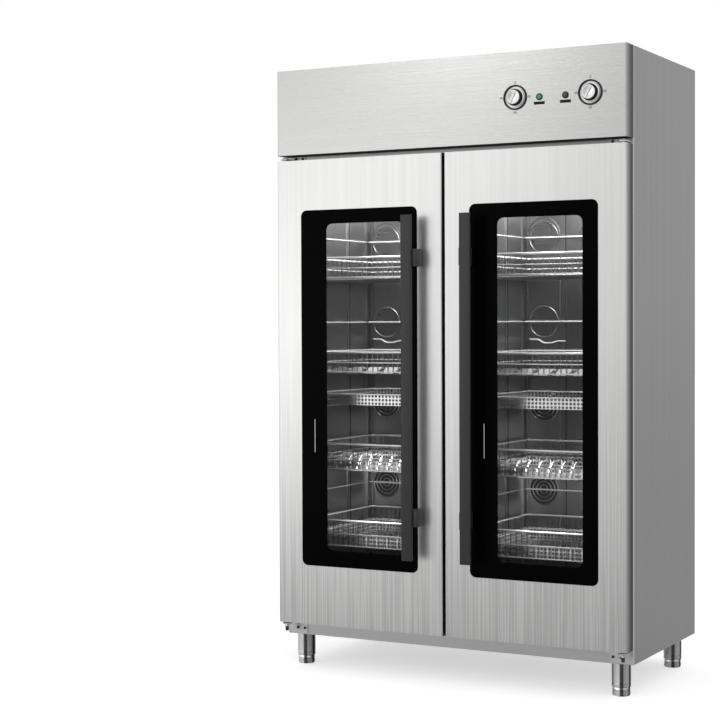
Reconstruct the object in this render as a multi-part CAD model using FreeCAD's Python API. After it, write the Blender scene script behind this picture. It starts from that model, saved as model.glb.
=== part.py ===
import FreeCAD, Part
import math
import os

# Dish sterilizer cabinet: a free-standing stainless cabinet with two glazed doors,
# a control fascia over them, and two bays of sliding wire baskets and trays.
#
# Units are millimetres. +Z is up and the front faces -Y. The origin is on the floor,
# under the centre of the cabinet's overall box. "Right" is +X, seen from the front.

# ---------------------------------------------------------------- casing
WIDTH = 1200.0  # over the side panels
BODY_DEPTH = 600.0  # front frame to back panel
HEIGHT = 1950.0  # floor to top cover
LEG_HEIGHT = 100.0  # floor to the underside of the base
BASE_HEIGHT = 60.0  # base pan, whose front is the rail under the doors
FASCIA_HEIGHT = 275.0
SHEET = 0.8  # outer stainless sheet
FRAME_SHEET = 1.2  # strips of the front frame
SEAL_LAND = 40.0  # width of the front frame strips
FRAME_BEHIND_FASCIA = 45.0  # top strip hidden behind the fascia
CORNER_RADIUS = 4.0  # folded vertical edges of fascia and doors

# ---------------------------------------------------------------- bays
LINER_SHEET = 0.6
SIDE_WALL = 30.0  # outside of the casing to inside of the liner
BACK_WALL = 42.0
PARTITION = 60.0
BASE_WOOL = 40.0  # insulation under the bay floor
TOP_WOOL = 30.0  # insulation over the bay ceiling
CEILING_DROP = 35.0  # bay ceiling under the fascia's lower edge
TOP_WALL = 60.0  # bay ceiling to control shelf

# ---------------------------------------------------------------- doors
DOOR_THICKNESS = 55.0
CENTRE_GAP = 9.0  # between the two doors
DOOR_TOP_GAP = 18.0  # door to fascia
RAIL_IN_SIGHT = 46.0  # height of base seen under the doors
HINGE_INSET = 18.0  # pivot axis from the door's side edge
HINGE_SETBACK = 18.0  # pivot axis behind the door's face
SWING_CLEARANCE = 0.85  # between the door's turning corner and the front frame
GLASS_THICKNESS = 4.0
GLASS_FREE_MARGIN = 85.5  # free edge of the door to the pane
GLASS_HINGE_MARGIN = 89.0
GLASS_TOP_MARGIN = 163.5
GLASS_BOTTOM_MARGIN = 193.0
GLASS_RADIUS = 20.0
GLASS_CLEARANCE = 0.3
GLASS_SEAT = 25.0  # pane edge resting on the core
GASKET_INSET = 22.0
GASKET_WIDTH = 12.0
GASKET_CLEARANCE = 0.3

# ---------------------------------------------------------------- handles
HANDLE_STANDOFF = 60.0  # door face to handle front
HANDLE_WIDTH = 37.0
HANDLE_THICKNESS = 10.0
HANDLE_LENGTH = 1080.0
HANDLE_INSET = 96.0  # free edge of the door to the bar's centre line
HANDLE_RISE = 238.0  # lower edge of the door to the bar
HANDLE_EDGE = 1.5  # rounded edges of the bar
BRACKET_WIDTH = 30.0
BRACKET_HEIGHT = 54.0
BRACKET_INSET = 133.0  # end of the bar to the bracket's centre
BRACKET_OFFSET = 15.5  # bracket's centre line from the bar's, towards the free edge

# ---------------------------------------------------------------- hinges
PIN_RADIUS = 5.0
PIN_CLEARANCE = 0.05
PIN_REACH = 16.0  # pin inside the door
COLLAR_RADIUS = 9.0
COLLAR_CLEARANCE = 0.3  # under the door
PIN_HEAD = 4.0
PIN_POCKET = 2.0  # room around the pin inside the door
NUT_RADIUS = 9.0
NUT_HEIGHT = 9.0
LEAF_THICKNESS = 4.0
LEAF_NOSE = 14.0  # leaf around the pivot axis
LEAF_GAP = 4.0  # between leaf and door
MOUNTING_PLATE = 3.0  # bracket plate on the front frame
MOUNTING_LENGTH = 72.0
LOWER_PLATE_DROP = 34.0  # lower bracket plate under its leaf
UPPER_PLATE_RISE = 8.0
SCREW_RADIUS = 2.5
SCREW_HEAD_RADIUS = 4.5
SCREW_HEAD = 2.5
SCREW_CLEARANCE = 0.1
SCREW_PITCH = 26.0
SCREW_FROM_END = 9.0

# ---------------------------------------------------------------- legs and feet
LEG_RADIUS = 29.0
LEG_WALL = 1.5
LEG_SIDE_INSET = 50.0
LEG_FRONT_INSET = 32.0
LEG_REAR_INSET = 80.0
LEG_FLANGE_RADIUS = 34.0
LEG_FLANGE = 2.0
FOOT_HEIGHT = 27.0
FOOT_RADIUS = 27.0
FOOT_ROUNDING = 4.0
FOOT_GAP = 0.3
STEM_RADIUS = 8.0
STEM_CLEARANCE = 0.05
STEM_LENGTH = 50.0
LEG_PLUG = 14.0  # threaded plug in the tube's lower end

# ---------------------------------------------------------------- racks, baskets and trays
POST_THICKNESS = 8.0
POST_DEPTH = 24.0
POST_SHEET = 1.2
POST_SETBACK = 18.0  # front posts behind the front frame
RUNNER_SHEET = 1.5
RUNNER_HEIGHT = 14.0
RUNNER_SHELF = 16.0
CROSS_BAR_RADIUS = 3.0
BASKET_SIDE_CLEARANCE = 6.0  # to the bay's opening
BASKET_SETBACK = 44.0  # basket front behind the front frame
BASKET_BACK_CLEARANCE = 13.0
BASKET_SEAT_GAP = 0.3
WIRE = 3.0
RIM = 6.0
WIRE_PITCH = 26.0
FLOOR_PITCH = 52.0
SHALLOW_BASKET = 75.0
DEEP_BASKET = 94.0
TRAY_HEIGHT = 38.0
TRAY_SHEET = 1.0
TRAY_HOLE_RADIUS = 5.0
TRAY_HOLE_PITCH = 42.0
TRAY_BORDER = 24.0

# Free height under each level, counted from the bay floor upwards.
LEVELS = [
    ("fourth_basket", 186.0, DEEP_BASKET),
    ("third_basket", 159.0, DEEP_BASKET),
    ("tray", 126.0, TRAY_HEIGHT),
    ("second_basket", 63.0, SHALLOW_BASKET),
    ("top_basket", 235.0, SHALLOW_BASKET),
]

# ---------------------------------------------------------------- air circulation
DUCT_DEPTH = 45.0
DUCT_SIDE_INSET = 22.0  # duct cover from the liner's side wall and the partition
DUCT_FOOT = 30.0
DUCT_HEAD = 50.0
DUCT_SHEET = 0.8
OUTLET_FIRST = 362.0  # lowest outlets above the bay floor
OUTLET_LAST = 226.0  # top outlets under the bay ceiling
OUTLET_COUNT = 4
OUTLET_INSET = 72.0  # outlet centre from the bay's side
OUTLET_RINGS = 3
OUTLET_RING_PITCH = 15.0
OUTLET_HOLE_RADIUS = 3.5
INTAKE_RINGS = 5
FAN_RADIUS = 70.0
FAN_DEPTH = 18.0
FAN_GAP = 8.0  # behind the duct cover
HUB_RADIUS = 16.0
BLADE_ROOT = 3.0  # blade inside the hub
BLADE_COUNT = 6
BLADE_PITCH = 32.0  # degrees
BLADE_WIDTH = 26.0
BLADE_THICKNESS = 2.0
MOTOR_RADIUS = 30.0
MOTOR_LENGTH = 34.0
SHAFT_RADIUS = 3.0
SHAFT_CLEARANCE = 0.05
SHAFT_HOLE_CLEARANCE = 2.0
SHAFT_REACH = 22.0  # shaft inside the motor
HEATER_TUBE_RADIUS = 4.0
HEATER_HALF_WIDTH = 60.0
HEATER_FOOT = 240.0  # above the bay floor
HEATER_LENGTH = 700.0
HEATER_BLOCK = 24.0
PROBE_RADIUS = 3.0
PROBE_LENGTH = 70.0
PROBE_FLANGE_RADIUS = 10.0
PROBE_FLANGE = 3.0
PROBE_SIDE_INSET = 90.0
PROBE_SETBACK = 330.0

# ---------------------------------------------------------------- controls
KNOB_CENTRES = {"left": 245.0, "right": 487.0}
CONTROL_RISE = 136.0  # fascia's lower edge to the knobs
DIAL_RADIUS = 38.0
DIAL_RIM = 4.0
DIAL_THICKNESS = 3.0
SKIRT_CLEARANCE = 1.0
SKIRT_THICKNESS = 2.0
KNOB_RADIUS = 24.0
KNOB_HEIGHT = 15.0
KNOB_GAP = 0.4
GRIP_WIDTH = 7.0
GRIP_HEIGHT = 2.5
GRIP_MARGIN = 1.0
GRIP_ANGLE = 30.0  # degrees from upright, clockwise from the front
SPINDLE_RADIUS = 3.0
SPINDLE_CLEARANCE = 0.05
SPINDLE_REACH = 24.0
TIMER_SIZE = 46.0
TIMER_DEPTH = 38.0
NOSE_RADIUS = 5.5
NOSE_CLEARANCE = 0.2
NOSE_PROUD = 1.0  # timer nose in front of the fascia
LAMP_CENTRES = {"power": 324.0, "heating": 408.0}
LAMP_RISE = 133.0
LAMP_RADIUS = 10.5
LAMP_BODY_RADIUS = 8.0
LAMP_BODY_LENGTH = 24.0
LAMP_RIM = 2.0
LAMP_DOME = 4.0
LAMP_CLEARANCE = 0.2
TERMINAL_BLOCK = (150.0, 34.0, 30.0)
TERMINAL_BLOCK_CENTRE = 380.0
TERMINAL_BLOCK_REAR_GAP = 60.0
GLAND_CENTRE = 440.0
GLAND_RISE = 90.0  # above the control shelf
GLAND_BORE = 5.5
GLAND_THREAD_RADIUS = 10.0
GLAND_HEX = 13.5
GLAND_REACH = 24.0
GLAND_INSIDE = 16.0
GLAND_HEX_LENGTH = 8.0
GLAND_CLEARANCE = 0.1
LOUVRE_COUNT = 6
LOUVRE_LENGTH = 180.0
LOUVRE_HEIGHT = 5.0
LOUVRE_PITCH = 18.0
LOUVRE_RISE = 90.0
LOUVRE_CENTRES = (-300.0, 0.0)

# ---------------------------------------------------------------- places worked out
PIVOT_BACK = DOOR_THICKNESS - HINGE_SETBACK  # pivot axis to the door's back
DOOR_GAP = math.hypot(HINGE_INSET, PIVOT_BACK) - PIVOT_BACK + SWING_CLEARANCE
TOTAL_DEPTH = HANDLE_STANDOFF + DOOR_THICKNESS + DOOR_GAP + BODY_DEPTH + GLAND_REACH

REAR = TOTAL_DEPTH / 2 - GLAND_REACH
FRONT = REAR - BODY_DEPTH  # face of the front frame
DOOR_BACK = FRONT - DOOR_GAP
DOOR_FACE = DOOR_BACK - DOOR_THICKNESS
PIVOT_Y = DOOR_FACE + HINGE_SETBACK
FRAME_BACK = FRONT + FRAME_SHEET
HALF = WIDTH / 2
INNER_HALF = HALF - SHEET
PIVOT_X = HALF - HINGE_INSET

BASE_TOP = LEG_HEIGHT + BASE_HEIGHT
FLOOR = BASE_TOP + SEAL_LAND  # bay floor
FASCIA_FOOT = HEIGHT - FASCIA_HEIGHT
CEILING = FASCIA_FOOT - CEILING_DROP
SHELF = CEILING + TOP_WALL
DOOR_FOOT = LEG_HEIGHT + RAIL_IN_SIGHT
DOOR_TOP = FASCIA_FOOT - DOOR_TOP_GAP
OPENING_TOP = FASCIA_FOOT - DOOR_TOP_GAP - SEAL_LAND

BAY_IN = PARTITION / 2  # inner faces of one bay, counted from the centre
BAY_OUT = HALF - SIDE_WALL
BAY_CENTRE = (BAY_IN + BAY_OUT) / 2
BAY_BACK = REAR - BACK_WALL
DUCT_FACE = BAY_BACK - DUCT_DEPTH
BASKET_IN = SEAL_LAND + BASKET_SIDE_CLEARANCE
BASKET_OUT = HALF - SEAL_LAND - BASKET_SIDE_CLEARANCE
BASKET_FRONT = FRONT + BASKET_SETBACK
BASKET_BACK = DUCT_FACE - BASKET_BACK_CLEARANCE
CONTROL_Z = FASCIA_FOOT + CONTROL_RISE

SIDES = {"left": -1, "right": 1}
V = FreeCAD.Vector


# ---------------------------------------------------------------- helpers
def block(low, high):
    """Return the box between two corners."""
    size = V(*high) - V(*low)
    return Part.makeBox(size.x, size.y, size.z, V(*low))


def rod(start, axis, length, radius):
    """Return a solid cylinder."""
    return Part.makeCylinder(radius, length, V(*start), V(*axis))


def turned(profile, centre, axis):
    """Revolve (radius, height) points about an axis; heights run along it."""
    points = [V(radius, 0, height) for radius, height in profile]
    face = Part.Face(Part.makePolygon(points + points[:1]))
    solid = face.revolve(V(0, 0, 0), V(0, 0, 1), 360)
    solid.Placement = FreeCAD.Placement(V(*centre), FreeCAD.Rotation(V(0, 0, 1), V(*axis)))
    return solid


def on_side(shape, side):
    """Return a right-hand shape as it is, or its mirror image for the left."""
    if SIDES[side] > 0:
        return shape
    return shape.mirror(V(0, 0, 0), V(1, 0, 0))


def both(shape):
    """Return a right-hand shape and its mirror image."""
    return [shape, on_side(shape, "left")]


def upright_edges(shape, axis=V(0, 0, 1)):
    """Return the straight edges that run along an axis."""
    chosen = []
    for edge in shape.Edges:
        if isinstance(edge.Curve, Part.Line) and abs(abs(edge.Curve.Direction * axis) - 1) < 1e-6:
            chosen.append(edge)
    return chosen


def outer_front_edges(shape, y):
    """Return the upright edges that lie in the plane of the front face."""
    return [e for e in upright_edges(shape) if abs(e.Vertexes[0].Y - y) < 1e-6]


def flat_with_holes(outline, holes, thickness):
    """Extrude a flat outline with holes in it; all are closed wires in one plane."""
    face = Part.makeFace([outline] + holes, "Part::FaceMakerBullseye")
    return face.extrude(thickness)


def rectangle(corner, along_u, along_v):
    """Return a closed rectangular wire from a corner and its two sides."""
    p0 = V(*corner)
    p1 = p0 + along_u
    p2 = p1 + along_v
    p3 = p0 + along_v
    return Part.makePolygon([p0, p1, p2, p3, p0])


def circle(centre, radius, normal):
    """Return a closed circular wire."""
    return Part.Wire(Part.makeCircle(radius, centre, normal))


def lattice(corner, along_u, along_v, thickness, pitch_u, pitch_v, top_border=WIRE):
    """Return a flat grid of square wires; the last border along v may be thicker."""
    unit_u = V(along_u).normalize()
    unit_v = V(along_v).normalize()
    free_u = along_u.Length - WIRE
    free_v = along_v.Length - WIRE - top_border
    count_u = max(1, round(free_u / pitch_u))
    count_v = max(1, round(free_v / pitch_v))
    cell_u = free_u / count_u
    cell_v = (free_v + WIRE) / count_v
    holes = []
    for i in range(count_u):
        for j in range(count_v):
            start = V(*corner) + unit_u * (WIRE + i * cell_u) + unit_v * (WIRE + j * cell_v)
            hole = rectangle(start, unit_u * (cell_u - WIRE), unit_v * (cell_v - WIRE))
            holes.append(hole)
    return flat_with_holes(rectangle(corner, along_u, along_v), holes, thickness)


def save(node, *solids):
    """Write the STEP file of one node."""
    shape = solids[0] if len(solids) == 1 else Part.makeCompound(list(solids))
    shape.exportStep("parts/" + node + ".step")


# ---------------------------------------------------------------- screw places
def lower_screw_places():
    """Return (x, z) of the screws of the right lower hinge bracket."""
    first = INNER_HALF - MOUNTING_LENGTH + SCREW_FROM_END
    height = lower_leaf_top() - LEAF_THICKNESS - LOWER_PLATE_DROP / 2
    return [(first, height), (first + SCREW_PITCH, height)]


def upper_screw_places():
    """Return (x, z) of the screws of the right upper hinge bracket."""
    first = INNER_HALF - MOUNTING_LENGTH + SCREW_FROM_END
    height = upper_leaf_foot() + (LEAF_THICKNESS + UPPER_PLATE_RISE) / 2
    return [(first, height), (first + SCREW_PITCH, height)]


def lower_leaf_top():
    """Return the height of the lower leaf's upper face."""
    return DOOR_FOOT - LEAF_GAP


def upper_leaf_foot():
    """Return the height of the upper leaf's lower face."""
    return DOOR_TOP + LEAF_GAP


def screw_holes(places, depth):
    """Return cutters for bracket screws, from the front frame's face backwards."""
    radius = SCREW_RADIUS + SCREW_CLEARANCE
    start = FRONT - MOUNTING_PLATE
    cutters = []
    for x, z in places:
        hole = rod((x, start - SHEET, z), (0, 1, 0), depth + MOUNTING_PLATE + 2 * SHEET, radius)
        cutters += both(hole)
    return cutters


# ---------------------------------------------------------------- casing
def make_casing():
    """Write the outer panels, base pan, front frame and control shelf."""
    side_panel = block((INNER_HALF, FRONT, LEG_HEIGHT), (HALF, REAR, HEIGHT))
    for side in SIDES:
        save(side + "_side_panel", on_side(side_panel, side))

    cover = block((-INNER_HALF, FRONT, HEIGHT - SHEET), (INNER_HALF, REAR - SHEET, HEIGHT))
    save("top_cover", cover)

    save("back_panel", make_back_panel())
    save("base_pan", make_base_pan())
    save("control_fascia", make_fascia())
    save("front_frame", *make_front_frame())

    shelf = block((-INNER_HALF, FRAME_BACK, SHELF), (INNER_HALF, REAR - SHEET, SHELF + SHEET))
    save("control_shelf", shelf)


def make_back_panel():
    """Return the back panel with its ventilation slots and gland hole."""
    across = V(2 * INNER_HALF, 0, 0)
    up = V(0, 0, HEIGHT - LEG_HEIGHT)
    start = (-INNER_HALF, REAR - SHEET, LEG_HEIGHT)
    holes = []
    for centre in LOUVRE_CENTRES:
        for row in range(LOUVRE_COUNT):
            foot = SHELF + LOUVRE_RISE + row * LOUVRE_PITCH
            corner = (centre - LOUVRE_LENGTH / 2, REAR - SHEET, foot)
            holes.append(rectangle(corner, V(LOUVRE_LENGTH, 0, 0), V(0, 0, LOUVRE_HEIGHT)))
    gland = V(GLAND_CENTRE, REAR - SHEET, SHELF + GLAND_RISE)
    holes.append(circle(gland, GLAND_THREAD_RADIUS + GLAND_CLEARANCE, V(0, 1, 0)))
    return flat_with_holes(rectangle(start, across, up), holes, V(0, SHEET, 0))


def make_base_pan():
    """Return the base pan: a bottom sheet with four flanges turned up."""
    outer = block((-INNER_HALF, FRONT, LEG_HEIGHT), (INNER_HALF, REAR - SHEET, BASE_TOP))
    inside = block(
        (-INNER_HALF + SHEET, FRONT + SHEET, LEG_HEIGHT + SHEET),
        (INNER_HALF - SHEET, REAR - 2 * SHEET, BASE_TOP + SHEET),
    )
    return outer.cut([inside] + screw_holes(lower_screw_places(), SHEET))


def make_fascia():
    """Return the folded fascia, open to the rear, with holes for knobs and lamps."""
    outer = block((-HALF, DOOR_FACE, FASCIA_FOOT), (HALF, FRONT, HEIGHT))
    outer = outer.makeFillet(CORNER_RADIUS, outer_front_edges(outer, DOOR_FACE))
    inside = block(
        (-INNER_HALF, DOOR_FACE + SHEET, FASCIA_FOOT + SHEET),
        (INNER_HALF, FRONT + SHEET, HEIGHT - SHEET),
    )
    inside = inside.makeFillet(CORNER_RADIUS - SHEET, outer_front_edges(inside, DOOR_FACE + SHEET))
    cutters = [inside]
    for x in KNOB_CENTRES.values():
        cutters.append(front_hole(x, CONTROL_Z, NOSE_RADIUS + NOSE_CLEARANCE))
    for x in LAMP_CENTRES.values():
        cutters.append(front_hole(x, FASCIA_FOOT + LAMP_RISE, LAMP_BODY_RADIUS + LAMP_CLEARANCE))
    return outer.cut(cutters)


def front_hole(x, z, radius):
    """Return a cutter through the fascia's front sheet."""
    return rod((x, DOOR_FACE - SHEET, z), (0, 1, 0), 3 * SHEET, radius)


def make_front_frame():
    """Return the strips that the gaskets close on: foot, head, two sides and mullion."""
    head_top = FASCIA_FOOT + FRAME_BEHIND_FASCIA
    foot = block((-INNER_HALF, FRONT, BASE_TOP), (INNER_HALF, FRAME_BACK, FLOOR))
    head = block((-INNER_HALF, FRONT, OPENING_TOP), (INNER_HALF, FRAME_BACK, head_top))
    head = head.cut(screw_holes(upper_screw_places(), FRAME_SHEET))
    jamb = block((HALF - SEAL_LAND, FRONT, FLOOR), (INNER_HALF, FRAME_BACK, OPENING_TOP))
    mullion = block((-SEAL_LAND, FRONT, FLOOR), (SEAL_LAND, FRAME_BACK, OPENING_TOP))
    return [foot, head, mullion] + both(jamb)


# ---------------------------------------------------------------- liner and insulation
def make_liner():
    """Write the bay liner, the centre partition and the insulation."""
    skin = LINER_SHEET
    wall = block((BAY_OUT, FRAME_BACK, FLOOR), (BAY_OUT + skin, BAY_BACK, CEILING))
    floor = block((-BAY_OUT - skin, FRAME_BACK, FLOOR - skin), (BAY_OUT + skin, BAY_BACK + skin, FLOOR))
    ceiling = block(
        (-BAY_OUT - skin, FRAME_BACK, CEILING), (BAY_OUT + skin, BAY_BACK + skin, CEILING + skin)
    )
    back = block((-BAY_OUT - skin, BAY_BACK, FLOOR), (BAY_OUT + skin, BAY_BACK + skin, CEILING))
    fan_holes = [fan_cutter(SHAFT_RADIUS + SHAFT_HOLE_CLEARANCE, side) for side in SIDES]
    save("bay_liner", floor, ceiling, back.cut(fan_holes), *both(wall))

    face = block((BAY_IN - skin, FRAME_BACK, FLOOR), (BAY_IN, BAY_BACK, CEILING))
    save("centre_partition", *both(face))

    save("insulation_slabs", *make_insulation())


def make_insulation():
    """Return the slabs around the liner: base, top, back and two sides."""
    skin = LINER_SHEET
    side_in = BAY_OUT + skin
    back_in = BAY_BACK + skin
    rear = REAR - SHEET
    base_top = FLOOR - skin
    base = block((-side_in, FRAME_BACK, base_top - BASE_WOOL), (side_in, back_in, base_top))
    top = block((-side_in, FRAME_BACK, CEILING + skin), (side_in, rear, CEILING + skin + TOP_WOOL))
    back = block((-side_in, back_in, base_top), (side_in, rear, CEILING + skin))
    back = back.cut([fan_cutter(MOTOR_RADIUS + SHAFT_HOLE_CLEARANCE, side) for side in SIDES])
    side = block((side_in, FRAME_BACK, base_top), (INNER_HALF, rear, CEILING + skin))
    return [base, top, back] + both(side)


def outlet_heights():
    """Return the heights of the outlet rows, evenly spaced, lowest first."""
    first = FLOOR + OUTLET_FIRST
    pitch = (CEILING - OUTLET_LAST - first) / (OUTLET_COUNT - 1)
    return [first + row * pitch for row in range(OUTLET_COUNT)]


def fan_z():
    """Return the height of the fan axis: level with the top outlets."""
    return outlet_heights()[-1]


def fan_cutter(radius, side):
    """Return a cutter on one fan axis through the back wall."""
    start = (SIDES[side] * BAY_CENTRE, BAY_BACK - SHEET, fan_z())
    return rod(start, (0, 1, 0), BACK_WALL, radius)


# ---------------------------------------------------------------- racks
def level_feet():
    """Return (name, foot height, height) of each basket or tray, lowest first."""
    levels = []
    foot = FLOOR
    for name, free_height, height in LEVELS:
        foot += free_height
        levels.append((name, foot, height))
        foot += height
    return levels


def make_racks():
    """Write the posts, the cross bars on the back wall and the basket runners."""
    front_post_y = FRONT + POST_SETBACK
    rear_post_y = DUCT_FACE - POST_DEPTH
    posts = []
    for wall_x, inward in ((BAY_IN, 1), (BAY_OUT, -1)):
        for low_y in (front_post_y, rear_post_y):
            posts += both(make_post(wall_x, inward, low_y))
    save("rack_posts", *posts)

    bar_y = (BASKET_BACK + DUCT_FACE) / 2
    bar_length = BAY_OUT - BAY_IN - 2 * POST_THICKNESS
    bars = []
    for height in outlet_heights():
        start = (BAY_IN + POST_THICKNESS, bar_y, height)
        bars += both(rod(start, (1, 0, 0), bar_length, CROSS_BAR_RADIUS))
    save("rack_cross_bars", *bars)

    runners = []
    for _, foot, _ in level_feet():
        shelf_top = foot - BASKET_SEAT_GAP
        runners += both(make_runner(BAY_IN + POST_THICKNESS, 1, shelf_top, front_post_y))
        runners += both(make_runner(BAY_OUT - POST_THICKNESS, -1, shelf_top, front_post_y))
    save("basket_runners", *runners)


def make_post(wall_x, inward, low_y):
    """Return one channel-shaped post, open towards the wall that it stands on."""
    web = POST_THICKNESS - POST_SHEET
    outline = [
        (0, 0),
        (POST_THICKNESS, 0),
        (POST_THICKNESS, POST_DEPTH),
        (0, POST_DEPTH),
        (0, POST_DEPTH - POST_SHEET),
        (web, POST_DEPTH - POST_SHEET),
        (web, POST_SHEET),
        (0, POST_SHEET),
        (0, 0),
    ]
    points = [V(wall_x + inward * x, low_y + y, FLOOR) for x, y in outline]
    return Part.Face(Part.makePolygon(points)).extrude(V(0, 0, CEILING - FLOOR))


def make_runner(wall_x, inward, shelf_top, front):
    """Return one angle runner: an upright leg on the posts and a shelf into the bay."""
    shelf_foot = shelf_top - RUNNER_SHEET
    outline = [
        (0, shelf_foot),
        (RUNNER_SHELF, shelf_foot),
        (RUNNER_SHELF, shelf_top),
        (RUNNER_SHEET, shelf_top),
        (RUNNER_SHEET, shelf_foot + RUNNER_HEIGHT),
        (0, shelf_foot + RUNNER_HEIGHT),
        (0, shelf_foot),
    ]
    points = [V(wall_x + inward * x, front, z) for x, z in outline]
    return Part.Face(Part.makePolygon(points)).extrude(V(0, DUCT_FACE - POST_DEPTH - front, 0))


# ---------------------------------------------------------------- baskets and trays
def make_baskets():
    """Write every basket and tray of both bays."""
    for name, foot, height in level_feet():
        make = make_tray if name == "tray" else make_basket
        solids = make(foot, height)
        for side in SIDES:
            save(side + "_" + name, *[on_side(solid, side) for solid in solids])


def make_basket(foot, height):
    """Return a right-hand wire basket as five flat grids: floor, front, back and ends."""
    across = V(BASKET_OUT - BASKET_IN, 0, 0)
    along = V(0, BASKET_BACK - BASKET_FRONT, 0)
    end_along = V(0, along.y - 2 * WIRE, 0)
    up = V(0, 0, height - WIRE)
    half_up = (height - WIRE) / 2
    base = foot + WIRE
    floor = lattice((BASKET_IN, BASKET_FRONT, foot), across, along, V(0, 0, WIRE), WIRE_PITCH, FLOOR_PITCH)
    front = lattice(
        (BASKET_IN, BASKET_FRONT, base), across, up, V(0, WIRE, 0), WIRE_PITCH, half_up, RIM
    )
    back = front.translated(V(0, along.y - WIRE, 0))
    end = lattice(
        (BASKET_IN, BASKET_FRONT + WIRE, base), end_along, up, V(WIRE, 0, 0), WIRE_PITCH, half_up, RIM
    )
    return [floor, front, back, end, end.translated(V(across.x - WIRE, 0, 0))]


def make_tray(foot, height):
    """Return a right-hand perforated tray as a floor and four walls."""
    across = BASKET_OUT - BASKET_IN
    along = BASKET_BACK - BASKET_FRONT
    count_x = int((across - 2 * TRAY_BORDER) / TRAY_HOLE_PITCH)
    count_y = int((along - 2 * TRAY_BORDER) / TRAY_HOLE_PITCH)
    first_x = BASKET_IN + (across - count_x * TRAY_HOLE_PITCH) / 2
    first_y = BASKET_FRONT + (along - count_y * TRAY_HOLE_PITCH) / 2
    holes = []
    for i in range(count_x + 1):
        for j in range(count_y + 1):
            centre = V(first_x + i * TRAY_HOLE_PITCH, first_y + j * TRAY_HOLE_PITCH, foot)
            holes.append(circle(centre, TRAY_HOLE_RADIUS, V(0, 0, 1)))
    outline = rectangle((BASKET_IN, BASKET_FRONT, foot), V(across, 0, 0), V(0, along, 0))
    floor = flat_with_holes(outline, holes, V(0, 0, TRAY_SHEET))
    base = foot + TRAY_SHEET
    top = foot + height
    front = block((BASKET_IN, BASKET_FRONT, base), (BASKET_OUT, BASKET_FRONT + TRAY_SHEET, top))
    end = block(
        (BASKET_IN, BASKET_FRONT + TRAY_SHEET, base),
        (BASKET_IN + TRAY_SHEET, BASKET_BACK - TRAY_SHEET, top),
    )
    back = front.translated(V(0, along - TRAY_SHEET, 0))
    return [floor, front, back, end, end.translated(V(across - TRAY_SHEET, 0, 0))]


# ---------------------------------------------------------------- air circulation
def make_air_system():
    """Write duct covers, fans, motors, heaters and temperature probes."""
    save("duct_covers", *both(make_duct_cover()))

    motor_start = (BAY_CENTRE, BAY_BACK + LINER_SHEET, fan_z())
    motor = rod(motor_start, (0, 1, 0), MOTOR_LENGTH, MOTOR_RADIUS)
    bore = rod(motor_start, (0, 1, 0), SHAFT_REACH + SHAFT_CLEARANCE, SHAFT_RADIUS + SHAFT_CLEARANCE)
    save("fan_motors", *both(motor.cut(bore)))

    wheel = make_fan_wheel()
    for side in SIDES:
        save(side + "_fan_wheel", on_side(wheel, side))

    save("heaters", *both(make_heater()))
    save("temperature_probes", *both(make_probe()))


def perforation(centre, rings):
    """Return hole wires on a hexagonal pattern inside a circle of so many rings."""
    holes = []
    reach = rings * OUTLET_RING_PITCH + 0.01
    step_z = OUTLET_RING_PITCH * math.sqrt(3) / 2
    for row in range(-rings, rings + 1):
        for column in range(-2 * rings, 2 * rings + 1):
            x = (column + (row % 2) / 2) * OUTLET_RING_PITCH
            z = row * step_z
            if math.hypot(x, z) <= reach:
                place = V(centre.x + x, centre.y, centre.z + z)
                holes.append(circle(place, OUTLET_HOLE_RADIUS, V(0, 1, 0)))
    return holes


def make_duct_cover():
    """Return the right duct cover: a shallow pan with outlets and a fan intake."""
    low_x = BAY_IN + DUCT_SIDE_INSET
    high_x = BAY_OUT - DUCT_SIDE_INSET
    foot = FLOOR + DUCT_FOOT
    head = CEILING - DUCT_HEAD
    holes = perforation(V(BAY_CENTRE, DUCT_FACE, fan_z()), INTAKE_RINGS)
    for x in (BAY_IN + OUTLET_INSET, BAY_OUT - OUTLET_INSET):
        for height in outlet_heights():
            holes += perforation(V(x, DUCT_FACE, height), OUTLET_RINGS)
    outline = rectangle((low_x, DUCT_FACE, foot), V(high_x - low_x, 0, 0), V(0, 0, head - foot))
    face = flat_with_holes(outline, holes, V(0, DUCT_SHEET, 0))
    rim = block((low_x, DUCT_FACE + DUCT_SHEET, foot), (high_x, BAY_BACK, head))
    hollow = block(
        (low_x + DUCT_SHEET, DUCT_FACE, foot + DUCT_SHEET),
        (high_x - DUCT_SHEET, BAY_BACK + DUCT_SHEET, head - DUCT_SHEET),
    )
    return face.fuse(rim.cut(hollow)).removeSplitter()


def make_fan_wheel():
    """Return the right fan wheel with its shaft."""
    hub_start = (BAY_CENTRE, DUCT_FACE + DUCT_SHEET + FAN_GAP, fan_z())
    hub = rod(hub_start, (0, 1, 0), FAN_DEPTH, HUB_RADIUS)
    shaft_length = BAY_BACK + LINER_SHEET + SHAFT_REACH - hub_start[1]
    parts = [rod(hub_start, (0, 1, 0), shaft_length, SHAFT_RADIUS)]
    root = HUB_RADIUS - BLADE_ROOT
    blade_low = V(-BLADE_WIDTH / 2, -BLADE_THICKNESS / 2, root)
    for index in range(BLADE_COUNT):
        blade = Part.makeBox(BLADE_WIDTH, BLADE_THICKNESS, FAN_RADIUS - root, blade_low)
        blade.rotate(V(0, 0, 0), V(0, 0, 1), BLADE_PITCH)
        blade.rotate(V(0, 0, 0), V(0, 1, 0), index * 360 / BLADE_COUNT)
        blade.translate(V(*hub_start) + V(0, FAN_DEPTH / 2, 0))
        parts.append(blade)
    return hub.fuse(parts).removeSplitter()


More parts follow.
